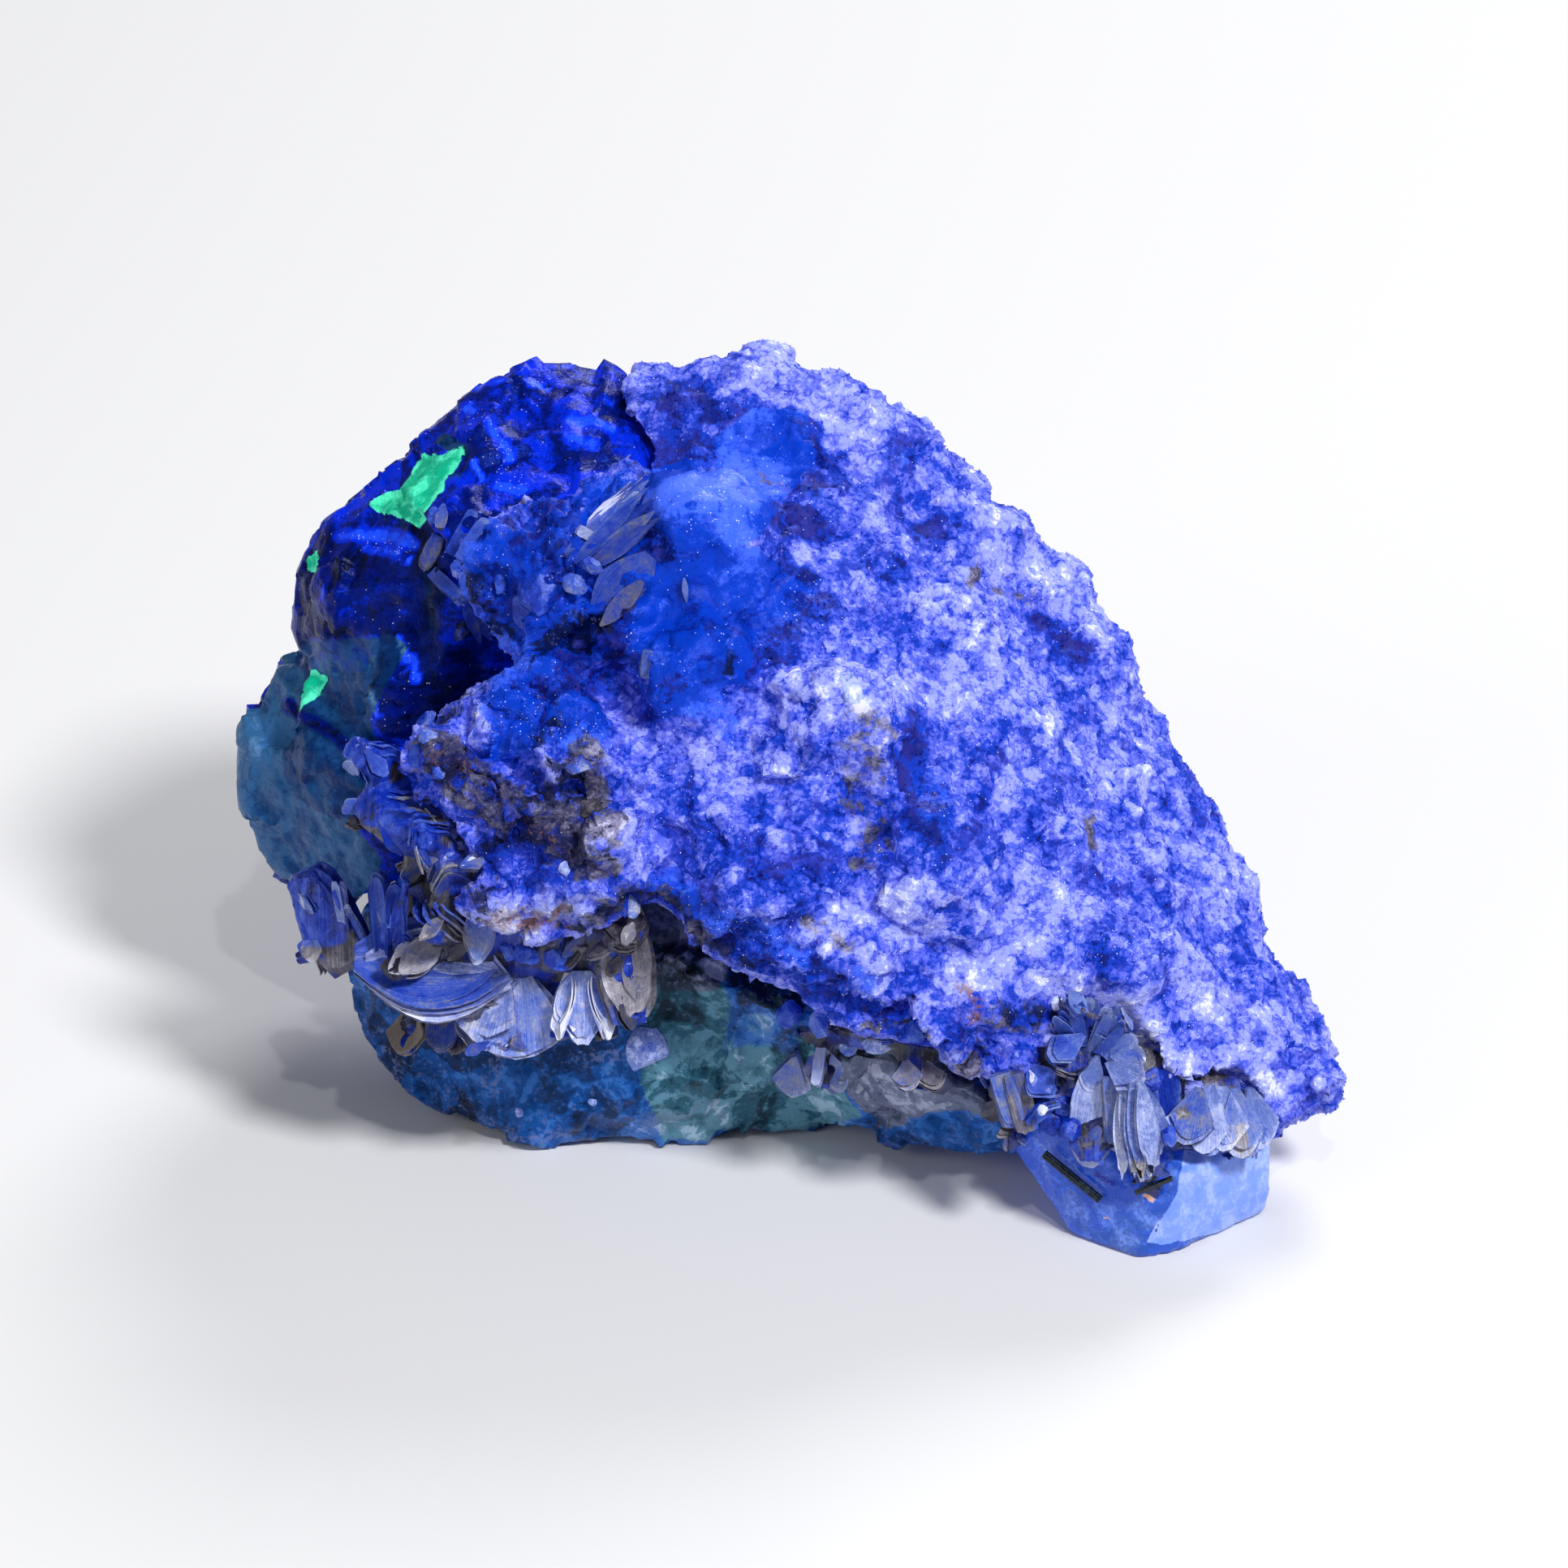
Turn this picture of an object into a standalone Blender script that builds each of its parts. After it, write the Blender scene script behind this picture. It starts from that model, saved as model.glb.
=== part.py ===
"""A fluorite specimen: fluorite, a sugary feldspar crust, mica books, a clear crystal and schorl needles.

Run with: blender --background --python part.py
Frame: metres, +Z up, +X along the specimen's length, -Y towards its best face.
The origin is on the surface that it rests on, under the middle of its bounding box.
Every shape below is written in millimetres in that frame, and turned into metres as its mesh is made.
"""

import math

import bmesh
import bpy
from mathutils import Matrix, Vector, noise

MM = 0.001

# Driving dimensions, in millimetres.
GAP = 0.3  # air between two pieces that touch
PLATE_STEPS = 3  # segments from a mica plate's root to its tip
NEEDLE_SIDES = 6
CLEAR_BEVEL = 0.25  # softening of the clear crystal's edges

# Colours (RGB).
VIOLET_BLUE = (0.22, 0.22, 0.86)
DEEP_BLUE = (0.01, 0.03, 0.42)
TEAL = (0.05, 0.20, 0.30)
PEARL = (0.55, 0.55, 0.80)
PALE_BLUE = (0.42, 0.50, 0.92)
BLACK_GREEN = (0.01, 0.04, 0.05)

# Feldspar crust, front: the dome from its crest down to the edge that overhangs the base.
CRUST_DOME = (
    # crest, from the notch beside the left fluorite to the right-hand tip
    (-8.5, 15, 42.6), (-7.0, 15.5, 43.6), (-3.3, 16, 44.0), (2.2, 15.5, 43.0), (6.8, 14.5, 40.8),
    (10.8, 13.5, 38.0),
    (16.0, 11.5, 32.4), (18.9, 10, 28.6), (24.1, 6, 21.4), (27.8, 1.0, 15.7), (32.2, -5, 10.4),
    (33.6, -8, 7.6),
    # the broad front face
    (-8.0, -3, 36.5), (-5.5, -4, 37.2), (1.7, -7, 32.4), (11.0, -4, 30.2), (1.7, -12, 24.0),
    (16.4, -10, 20.0),
    (26.0, -10, 13.6),
    # lower front edge
    (-9.1, -11.5, 22.9), (-4.7, -13, 19.8), (-0.3, -13.5, 17.2), (3.6, -14, 14.9), (9.1, -14.5, 12.9),
    (14.0, -15, 11.2), (19.0, -15.4, 8.8), (23.4, -15.4, 7.2), (29.4, -12, 5.0),
    # underside of the overhang
    (-6.0, -2, 17.0), (2.0, -4, 12.5), (10.0, -6, 9.0), (18.0, -7, 5.0), (27.0, -8, 3.4), (31.0, -8, 4.0),
)
# Feldspar crust, rear: the body behind the dome, down to the resting plane.
CRUST_BACK = (
    (-7.0, 14, 41.0), (2.0, 15, 41.5), (11.0, 13, 36.0), (19.0, 10, 28.0), (26.0, 4, 18.0),
    (30.0, -4, 10.0),
    (-8.0, 23.5, 30.0), (4.0, 24.5, 31.0), (16.0, 19, 22.0), (25.0, 10, 11.0), (14.0, 21.5, 8.0),
    (-4.0, 23.5, 12.0),
    (24.0, 4, 0.0), (10.0, 5, 0.0), (20.0, 12, 0.0), (8.0, 18, 0.0), (-6.0, 18, 4.0),
    (-4.0, 1, 20.0), (8.0, -2, 12.0), (20.0, -3, 6.0), (26.0, -4, 4.0),
)
# The stained ledge that reaches left, in front of the left fluorite.
CRUST_LEDGE = (
    (-22.6, -6, 31.3), (-23.4, -7, 27.9), (-22.4, -8.5, 24.2), (-20.0, -10, 21.1), (-17.0, -11, 19.4),
    (-13.1, -11.5, 18.6), (-8.6, -11.5, 21.4), (-16.0, -5, 33.5), (-13.0, -4, 36.0), (-17.9, -5, 32.4),
    (-17.9, -10, 27.4), (-13.0, -11, 27.9), (-8.1, -11, 27.9),
    (-8.0, 6, 24.0), (-10.0, -2, 17.0), (-16.0, 0, 20.0), (-17.0, 1, 30.0),
)
# The saddle of small crystals between the ledge, the left fluorite and the dome.
CRUST_SADDLE = (
    (-17.5, 1.5, 40.0), (-13.6, 3, 41.8), (-9.2, 6, 43.0), (-20.1, 1.5, 36.4), (-18.5, -1, 34.1),
    (-15.0, -3, 34.1),
    (-12.0, -2, 38.6), (-20.8, 4, 39.2), (-8.0, 8, 30.0), (-12.0, 8, 26.0), (-6.0, 3, 41.4),
    (-6.0, -3.5, 36.0),
    (-9.5, -4.5, 34.0), (-4.0, 4, 34.0),
)
# Lumps that stand out of the crust: (middle, radii).
CRUST_LUMPS = (
    # along the crest
    ((-6.6, 15.0, 40.4), (4.3, 4.6, 4.3)),
    ((-2.4, 15.5, 40.0), (5.2, 5.0, 5.4)),
    ((2.2, 15.0, 38.6), (5.4, 5.0, 5.4)),
    ((5.8, 14.0, 36.2), (5.3, 5.0, 5.3)),
    ((8.0, 13.5, 34.6), (4.7, 5.0, 4.7)),
    ((12.9, 12.5, 33.5), (3.0, 3.8, 3.0)),
    ((15.9, 11.5, 29.5), (3.6, 4.0, 3.6)),
    ((17.5, 9.5, 25.8), (4.3, 4.5, 4.3)),
    ((19.4, 8.0, 22.4), (4.2, 4.5, 4.2)),
    ((22.1, 6.0, 19.5), (4.0, 4.2, 4.0)),
    ((24.0, 4.0, 16.9), (3.6, 4.0, 3.6)),
    ((25.4, 1.5, 13.9), (3.7, 4.0, 3.7)),
    ((26.9, -1.0, 11.5), (3.6, 4.0, 3.6)),
    ((29.4, -4.0, 9.6), (3.5, 3.6, 3.5)),
    ((31.4, -6.5, 7.7), (2.9, 3.0, 2.9)),
    ((32.8, -8.3, 7.1), (1.9, 2.1, 1.9)),
    ((30.4, -9.5, 5.6), (1.6, 2.0, 1.6)),
    # on the front face
    ((-4.9, 2.8, 39.6), (4.7, 4.6, 4.0)),
    ((-5.0, -4.2, 33.0), (4.4, 2.8, 4.2)),
    ((3.0, -6.0, 31.2), (5.0, 3.4, 4.0)),
    ((9.0, -9.5, 22.9), (5.0, 3.4, 4.6)),
    ((19.0, -9.5, 16.4), (5.0, 3.4, 4.4)),
    ((-2.5, -11.0, 23.0), (4.0, 3.0, 3.6)),
    ((3.5, -12.3, 18.6), (4.4, 2.2, 2.8)),
    ((11.0, -13.2, 14.6), (4.4, 2.0, 2.6)),
    # on the ledge
    ((-16.5, -8.2, 26.5), (4.4, 2.6, 4.0)),
    ((-12.5, -9.4, 23.0), (4.0, 2.6, 3.6)),
    ((-19.5, -7.0, 29.4), (3.0, 2.2, 2.6)),
)
# Hollows in the crust: (place on its surface, radius, depth).
CRUST_HOLLOWS = (
    ((-2.2, -7.0, 31.6), 2.4, 1.6),  # beside the smooth deep-blue patch
    ((-7.4, -3.0, 37.0), 1.8, 1.2),  # under the lens
    ((8.8, -9.6, 26.0), 2.6, 1.3),  # in the middle of the dome
    ((-12.4, -3.8, 35.6), 2.2, 1.6),  # between the saddle's crystals
    ((-16.4, -9.6, 24.4), 2.2, 1.2),  # along the ledge
    ((17.8, -14.6, 15.2), 1.8, 1.6),  # behind the standing mica blades
    ((21.5, 0.5, 21.5), 2.6, 0.9),
)
CRUST_GRAIN = 0.8  # how finely it is shaped
CRUST_FACES = 2800  # triangles that it keeps before its neighbours are cut out of it
CRUST_FACET = 4.2  # mean width of its smaller lumps
CRUST_FACET_RISE = 0.8  # how far they stand proud

# Left fluorite: a rounded crystal over a paler one, standing behind the ledge.
UPPER_FLUORITE = (
    (-31.3, 12, 28.0), (-31.3, 12, 31.6), (-30.2, 13, 33.5), (-28.6, 13, 35.6), (-26.6, 13.5, 37.1),
    (-23.3, 14, 39.1), (-20.7, 15, 41.5), (-17.8, 16, 43.9), (-15.5, 17, 44.6), (-11.4, 18, 44.5),
    (-9.7, 17.5, 43.4),
    (-30.0, 9, 26.0), (-19.6, 4.5, 39.8), (-12.0, 6.0, 41.0), (-17.0, 3.0, 34.5), (-24.6, 3.5, 30.0),
    (-27.6, 6.5, 33.6), (-25.0, 3, 25.0), (-12.0, 26.5, 33.0), (-24.0, 24, 28.0), (-14.0, 26.5, 20.0),
    (-7.0, 11, 39.0),
    (-8.0, 12, 22.0),
)
LOWER_FLUORITE = (
    (-32.4, 12, 25.8), (-33.3, 12, 24.0), (-34.1, 11, 21.1), (-34.6, 10, 19.3), (-34.6, 9, 16.2),
    (-33.9, 8.5, 13.3),
    (-32.6, 8, 11.4), (-26.0, 3, 11.4), (-24.6, 1.5, 22.0), (-28.8, 4.2, 24.0), (-28.0, 21, 21.0),
    (-27.0, 19, 11.0),
    (-15.0, 4, 12.0), (-15.0, 10, 27.0), (-14.0, 22, 12.0),
)
FLUORITE_GRAIN = 0.7
FLUORITE_FACES = 1250
FLUORITE_FACET = 7.5
FLUORITE_FACET_RISE = 0.5

# Fluorite base: the blocky crystal underneath, cleaved flat where it rests.
BASE_BLOCK = (
    (-20.5, -2.6, 0), (-17.3, -5.3, 0), (1.4, -3.8, 0), (4.6, -1.4, 0), (6.0, 8, 0), (2.0, 17, 0),
    (-15.0, 17, 0),
    (-19.6, 6, 0),
    (-24.4, -0.4, 1.4), (-27.2, 1.2, 4.6), (-27.9, 2.4, 9.0), (-27.0, 3.0, 13.5), (-24.6, -1.7, 10.5),
    (-13.4, -5.6, 6.5), (-3.0, -6.8, 7.6), (4.6, -5.0, 6.0), (5.6, -4.0, 10.5), (-4.0, -5.6, 15.5),
    (-14.0, -4.0, 15.0),
    (5.0, 14, 11.0), (-20.0, 16, 12.0), (-6.0, 8, 20.0),
)
# Its smoky right-hand lobe, reaching to the clear crystal.
BASE_LOBE = (
    (1.7, -4, 0.9), (5.3, -5, 3.2), (8.3, -7, 2.9), (11.8, -8, 1.8), (15.3, -10, 2.1), (2.2, -8, 9.4),
    (6.7, -10.5, 9.2), (11.6, -12, 8.4), (15.6, -12.5, 5.8), (-3.3, -7, 12.3), (-7.3, -7, 15.2),
    (-4.0, 0, 16.0), (6.0, -2, 12.0), (15.0, -6, 8.0), (14.0, -4, 3.0),
)
BASE_GRAIN = 0.7
BASE_FACES = 960
BASE_FACET = 9.0
BASE_FACET_RISE = 0.3

# Clear crystal: the pale wedge that the front right of the specimen stands on.
CLEAR_CRYSTAL = (
    (17.7, -15.0, 0), (21.6, -17.4, 0), (23.6, -17.1, 0), (29.7, -12.3, 0), (27.0, -7.0, 0),
    (19.0, -7.5, 0),
    (13.9, -11.3, 4.4), (16.4, -13.8, 4.2), (22.6, -16.9, 3.6), (24.6, -16.4, 6.0), (29.9, -12.7, 2.2),
    (30.1, -11.7, 4.6), (17.0, -14.2, 8.2), (24.5, -15.2, 9.0), (28.6, -10.5, 7.0), (18.0, -8.0, 8.0),
)

# Mica plates: (root, tip, a direction its broad side faces, width, thickness, curl towards that side).
LEFT_MICA = (
    # standing along the left end: a curled book, a blade, two rods and a round knob
    ((-27.0, -5.0, 13.4), (-30.2, -3.6, 18.8), (-0.35, -0.9, 0.1), 3.8, 1.4, -1.3),
    ((-26.0, -5.4, 14.2), (-27.4, -5.8, 19.6), (-0.9, -0.3, 0.1), 0.9, 0.6, 0.3),
    ((-24.5, -7.0, 15.9), (-24.6, -7.0, 21.5), (0.2, -0.95, 0.1), 1.3, 1.0, 0.2),
    ((-24.1, -7.5, 16.0), (-22.9, -8.2, 21.5), (0.4, -0.9, 0.1), 1.2, 0.9, -0.3),
    ((-19.9, -7.0, 17.9), (-21.3, -10.4, 20.1), (-0.1, -0.2, 0.95), 2.3, 2.8, 0.0),
    # the pale plate, the long curved one under it and the fan that hangs from that
    ((-21.2, -7.0, 16.1), (-24.4, -9.8, 15.6), (0.2, -0.45, 0.85), 2.6, 0.9, 0.2),
    ((-21.1, -5.0, 14.7), (-21.8, -9.4, 12.3), (0.05, -0.6, 0.8), 9.0, 1.0, 0.8),
    ((-16.3, -6.5, 14.1), (-16.9, -9.4, 9.6), (0.15, -0.9, 0.25), 6.4, 0.9, 0.6),
    # two bright petals, the striped book beside them and the dark book above
    ((-12.7, -7.0, 14.1), (-13.6, -9.8, 10.8), (-0.65, -0.75, 0.1), 3.0, 0.8, 0.5),
    ((-12.2, -7.0, 14.1), (-11.0, -9.8, 10.8), (0.65, -0.75, 0.1), 3.0, 0.8, 0.5),
    ((-10.1, -8.0, 17.6), (-9.5, -10.2, 12.4), (0.2, -0.95, 0.1), 3.8, 1.5, 0.4),
    ((-9.9, -9.0, 19.6), (-9.8, -11.6, 18.4), (0.1, -0.8, 0.5), 3.4, 1.3, 0.3),
    # the golden fan low on the left
    ((-22.7, -5.0, 10.8), (-23.3, -7.2, 8.2), (-0.3, -0.95, 0.1), 2.2, 0.8, 0.5),
    ((-21.1, -5.5, 10.5), (-19.7, -7.6, 8.6), (0.2, -0.95, 0.2), 2.6, 0.7, 0.4),
    # knobs up the end of the ledge
    ((-22.8, -5.0, 26.3), (-26.2, -6.6, 30.0), (-0.2, -0.8, 0.55), 2.6, 2.2, 0.5),
    ((-21.5, -6.5, 23.3), (-25.5, -8.0, 27.0), (-0.2, -0.9, 0.35), 3.4, 2.4, 0.3),
    ((-20.5, -8.0, 23.6), (-22.1, -10.4, 26.3), (0.1, -0.95, 0.2), 2.2, 2.0, 0.2),
    ((-19.7, -8.4, 20.9), (-20.1, -10.3, 24.3), (0.1, -0.9, 0.3), 3.2, 1.2, 0.3),
)
# The bodies that the left plates grow from, along the lower edge of the ledge.
LEFT_MICA_ROOTS = (
    (
        (-27.8, -4.6, 13.6), (-27.0, -5.6, 15.0), (-24.8, -6.0, 16.0), (-20.9, -8.0, 15.8),
        (-16.2, -8.0, 14.7), (-12.0, -8.4, 14.6),
        (-8.7, -9.0, 18.0), (-9.6, -9.4, 20.0), (-13.1, -9.6, 18.3), (-18.1, -8.8, 19.0),
        (-20.4, -5.4, 10.7),
        (-23.4, -4.4, 11.0), (-23.0, -1.6, 16.0), (-10.0, -4.0, 16.0),
    ),
    (
        (-24.4, -4.6, 16.0), (-22.8, -4.5, 26.2), (-22.6, -6.0, 22.2), (-20.0, -8.4, 23.0),
        (-21.0, -7.2, 25.4),
        (-20.0, -4.0, 24.0), (-19.6, -8.0, 17.0), (-19.0, -3.0, 17.0),
    ),
)
RIGHT_MICA = (
    # blades that stand up from the cluster
    ((20.3, -12.0, 11.0), (17.4, -14.4, 16.8), (-0.5, -0.6, 0.6), 3.4, 0.9, 0.4),
    ((21.3, -12.0, 10.7), (19.4, -14.2, 16.3), (0.4, -0.75, 0.5), 2.6, 0.8, 0.3),
    ((17.4, -12.5, 13.9), (16.5, -14.2, 17.0), (-0.1, -0.9, 0.4), 1.4, 0.7, 0.1),
    # plates that lean out of it
    ((18.7, -12.5, 12.2), (16.1, -16.0, 12.6), (0.1, -0.6, 0.75), 2.8, 0.9, 0.3),
    ((20.0, -12.5, 10.8), (21.9, -16.2, 11.3), (0.2, -0.5, 0.85), 2.6, 0.9, 0.3),
    # books that hang over the clear crystal
    ((19.2, -13.0, 10.8), (18.7, -16.8, 6.2), (-0.35, -0.93, 0.1), 3.4, 0.7, 0.4),
    ((20.7, -13.0, 10.7), (22.0, -17.2, 5.0), (0.25, -0.95, 0.1), 3.2, 1.7, 0.5),
    ((12.8, -12.0, 10.7), (15.3, -15.4, 8.0), (-0.3, -0.9, 0.3), 3.6, 1.2, 0.4),
    ((14.0, -12.0, 11.3), (16.2, -16.0, 9.7), (0.3, -0.85, 0.4), 3.0, 0.9, 0.3),
    ((25.9, -12.0, 8.7), (24.7, -15.8, 6.4), (-0.25, -0.9, 0.3), 3.2, 1.1, 0.4),
    ((26.9, -12.0, 8.7), (27.7, -15.2, 5.5), (0.2, -0.9, 0.3), 3.8, 1.0, 0.4),
    ((28.8, -10.0, 7.4), (29.7, -12.8, 4.8), (0.5, -0.75, 0.35), 2.6, 0.9, 0.3),
    # small plates under the dome's edge
    ((0.9, -8.5, 9.6), (0.4, -11.0, 8.0), (-0.1, -0.9, 0.35), 2.4, 0.8, 0.3),
    ((2.2, -9.0, 10.3), (2.5, -12.0, 8.4), (0.3, -0.9, 0.2), 1.8, 0.9, 0.2),
    ((7.5, -11.5, 10.7), (7.2, -13.8, 9.5), (-0.2, -0.9, 0.3), 2.0, 0.9, 0.2),
    ((8.4, -11.5, 10.5), (9.1, -14.0, 9.6), (0.25, -0.9, 0.3), 2.2, 0.9, 0.3),
)
# The bodies that the right plates grow from.
RIGHT_MICA_ROOTS = (
    (
        (12.0, -11.5, 10.4), (14.0, -13.0, 10.8), (18.0, -14.0, 10.8), (21.4, -14.0, 9.7),
        (23.5, -13.5, 8.8),
        (26.5, -13.2, 8.6), (29.2, -11.0, 7.6), (28.8, -10.4, 8.9), (25.5, -12.0, 9.9), (20.9, -12.6, 12.5),
        (17.9, -12.9, 14.6), (16.5, -12.6, 13.9), (13.0, -12.0, 12.3), (18.0, -9.6, 11.0), (24.0, -9.6, 9.0),
    ),
    (
        (0.2, -8.0, 10.6), (2.2, -10.0, 10.7), (4.7, -11.0, 10.7), (9.1, -12.5, 10.8), (9.6, -12.5, 12.2),
        (5.6, -12.0, 13.1), (1.7, -11.0, 13.4), (13.4, -12.6, 11.4), (1.0, -8.0, 9.4),
        (5.0, -8.6, 11.0),
    ),
)

# Schorl needles: (one end, the other end, radius).
NEEDLES = {
    "schorl_needle_long": ((15.9, -14.2, 5.6), (19.3, -16.3, 3.6), 0.32),
    "schorl_needle_short": ((21.4, -17.2, 4.7), (23.6, -17.4, 5.9), 0.22),
}

# Cutters that make room for a neighbour.
CUTTER_GROWTH = GAP + 0.2  # the gap, and what the cutter's own shaping takes from it
CUTTER_GRAIN = 0.35
CUTTER_FACES = 2300


def clear_scene():
    """Start from an empty scene."""
    for obj in list(bpy.data.objects):
        bpy.data.objects.remove(obj)


def material(name, colour, roughness):
    """A plain Principled BSDF."""
    made = bpy.data.materials.new(name)
    made.use_nodes = True
    shader = made.node_tree.nodes["Principled BSDF"]
    shader.inputs["Base Color"].default_value = (*colour, 1.0)
    shader.inputs["Roughness"].default_value = roughness
    return made


def object_from(bm, name):
    """Link a bmesh, in millimetres, as an object in metres."""
    bmesh.ops.recalc_face_normals(bm, faces=bm.faces)
    bmesh.ops.scale(bm, vec=(MM, MM, MM), verts=bm.verts)
    mesh = bpy.data.meshes.new(name)
    bm.to_mesh(mesh)
    bm.free()
    obj = bpy.data.objects.new(name, mesh)
    bpy.context.scene.collection.objects.link(obj)
    return obj


def add_hull(bm, points):
    """Add the convex polyhedron round these points."""
    verts = [bm.verts.new(point) for point in points]
    made = bmesh.ops.convex_hull(bm, input=verts)
    inside = [v for v in made["geom_interior"] if isinstance(v, bmesh.types.BMVert)]
    bmesh.ops.delete(bm, geom=inside, context="VERTS")


def add_ellipsoid(bm, middle, radii):
    """Add a rounded lump."""
    place = Matrix.Translation(middle) @ Matrix.Diagonal((*radii, 1.0))
    bmesh.ops.create_icosphere(bm, subdivisions=3, radius=1.0, matrix=place)


def add_plate(bm, root, tip, faces, width, thick, curl):
    """Add one mica plate: a petal outline, stacked to its thickness and curled along its length."""
    root, tip = Vector(root), Vector(tip)
    along = (tip - root).normalized()
    across = Vector(faces).cross(along).normalized()
    normal = along.cross(across)
    rings = []
    for step in range(PLATE_STEPS + 1):
        share = step / PLATE_STEPS
        half = width / 2 * (0.62 + 0.38 * math.sin(math.pi * min(1.0, share * 1.25)))
        middle = root.lerp(tip, share) + normal * curl * share * share
        corners = (
            (-half, -thick / 2), (0.0, -thick * 0.62), (half, -thick / 2),
            (half, thick / 2), (0.0, thick * 0.62), (-half, thick / 2),
        )
        rings.append([bm.verts.new(middle + across * x + normal * z) for x, z in corners])
    for lower, upper in zip(rings, rings[1:]):
        for i in range(len(lower)):
            j = (i + 1) % len(lower)
            bm.faces.new((lower[i], lower[j], upper[j], upper[i]))
    bm.faces.new(rings[0])
    bm.faces.new(rings[-1])


def settle(obj):
    """Replace an object's mesh with what its modifiers make of it."""
    graph = bpy.context.evaluated_depsgraph_get()
    graph.update()
    mesh = bpy.data.meshes.new_from_object(obj.evaluated_get(graph))
    obj.modifiers.clear()
    obj.data = mesh


def facet_rise(place, width):
    """0 in the joints between a surface's smaller lumps, rising to 1 on their tops."""
    distances, _ = noise.voronoi(place / width)
    return 1.0 - min(1.0, distances[0] / 0.75) ** 2


def roughen(obj, width, rise, flat_below):
    """Raise lumps of this width out of the surface, but not near the face that it rests on."""
    bm = bmesh.new()
    bm.from_mesh(obj.data)
    bm.normal_update()
    moves = []
    for vert in bm.verts:
        place = vert.co / MM
        ramp = min(1.0, max(0.0, (place.z - flat_below) / 2.0))
        swell = facet_rise(place, width) - 0.5 + 0.5 * noise.noise(place / (width * 0.45))
        moves.append(vert.normal * swell * rise * ramp * MM)
    for vert, move in zip(bm.verts, moves):
        vert.co += move
    bm.to_mesh(obj.data)
    bm.free()


def hollow_out(obj, hollows):
    """Press round hollows into the surface."""
    bm = bmesh.new()
    bm.from_mesh(obj.data)
    bm.normal_update()
    for place, radius, depth in hollows:
        for vert in bm.verts:
            reach = (vert.co / MM - Vector(place)).length / radius
            if reach < 1.0:
                vert.co -= vert.normal * depth * (1.0 - reach * reach) ** 2 * MM
    bm.to_mesh(obj.data)
    bm.free()


def keep_largest(obj):
    """Drop the crumbs that a cut leaves beside the main body."""
    bm = bmesh.new()
    bm.from_mesh(obj.data)
    waiting = set(bm.verts)
    bodies = []
    while waiting:
        body, front = set(), [next(iter(waiting))]
        while front:
            vert = front.pop()
            if vert in body:
                continue
            body.add(vert)
            front.extend(edge.other_vert(vert) for edge in vert.link_edges)
        waiting -= body
        bodies.append(body)
    largest = max(bodies, key=len)
    bmesh.ops.delete(bm, geom=[v for v in bm.verts if v not in largest], context="VERTS")
    bm.to_mesh(obj.data)
    bm.free()


def rest_flat(obj):
    """Press everything below the resting plane onto it."""
    for vert in obj.data.vertices:
        vert.co.z = max(0.0, vert.co.z)


def grow(name, hulls, lumps, hollows, grain, faces, facet, facet_rise_mm, rounding, swell):
    """One natural mass: hulls and lumps grown together, rounded, lumped and brought to its face count."""
    bm = bmesh.new()
    for points in hulls:
        add_hull(bm, points)
    for middle, radii in lumps:
        add_ellipsoid(bm, middle, radii)
    obj = object_from(bm, name)
    remesh = obj.modifiers.new("Grown together", "REMESH")
    remesh.mode = "VOXEL"
    remesh.voxel_size = grain * MM
    smooth = obj.modifiers.new("Rounded", "SMOOTH")
    smooth.iterations = rounding
    fill_out = obj.modifiers.new("Swollen back", "DISPLACE")
    fill_out.strength = swell * MM
    fill_out.mid_level = 0.0
    settle(obj)
    roughen(obj, facet, facet_rise_mm, 0.6)
    hollow_out(obj, hollows)
    rest_flat(obj)
    thin = obj.modifiers.new("Fewer faces", "DECIMATE")
    thin.ratio = min(1.0, faces / (2 * len(obj.data.polygons)))
    settle(obj)
    rest_flat(obj)
    keep_largest(obj)
    return obj


def swollen(neighbours):
    """One cutter: these objects grown by the gap and melted together."""
    bm = bmesh.new()
    for neighbour in neighbours:
        bm.from_mesh(neighbour.data)
    mesh = bpy.data.meshes.new("cutter")
    bm.to_mesh(mesh)
    bm.free()
    cutter = bpy.data.objects.new("cutter", mesh)
    bpy.context.scene.collection.objects.link(cutter)
    swell = cutter.modifiers.new("Gap", "DISPLACE")
    swell.strength = CUTTER_GROWTH * MM
    swell.mid_level = 0.0
    remesh = cutter.modifiers.new("Melted together", "REMESH")
    remesh.mode = "VOXEL"
    remesh.voxel_size = CUTTER_GRAIN * MM
    settle(cutter)
    thin = cutter.modifiers.new("Fewer faces", "DECIMATE")
    thin.ratio = min(1.0, CUTTER_FACES / (2 * len(cutter.data.polygons)))
    settle(cutter)
    return cutter


def make_room(obj, neighbours):
    """Cut an object back from its neighbours, leaving the gap."""
    cutter = swollen(neighbours)
    cut = obj.modifiers.new("Room for its neighbours", "BOOLEAN")
    cut.operation = "DIFFERENCE"
    cut.solver = "EXACT"
    cut.object = cutter
    settle(obj)
    keep_largest(obj)
    bpy.data.objects.remove(cutter)


def join_on(obj, bm):
    """Grow a bmesh onto an object as one solid. The exact solver drops the body here."""
    leaf = object_from(bm, f"{obj.name}_growth")
    join = obj.modifiers.new("Grown together", "BOOLEAN")
    join.operation = "UNION"
    join.solver = "MANIFOLD"
    join.object = leaf
    settle(obj)
    bpy.data.objects.remove(leaf)


def mica_books(name, plates, roots):
    """Mica plates and the bodies that they grow from, joined in one solid."""
    bm = bmesh.new()
    add_hull(bm, roots[0])
    obj = object_from(bm, name)
    for root in roots[1:]:
        bm = bmesh.new()
        add_hull(bm, root)
        join_on(obj, bm)
    for plate in plates:
        bm = bmesh.new()
        add_plate(bm, *plate)
        join_on(obj, bm)
    keep_largest(obj)
    return obj


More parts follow.
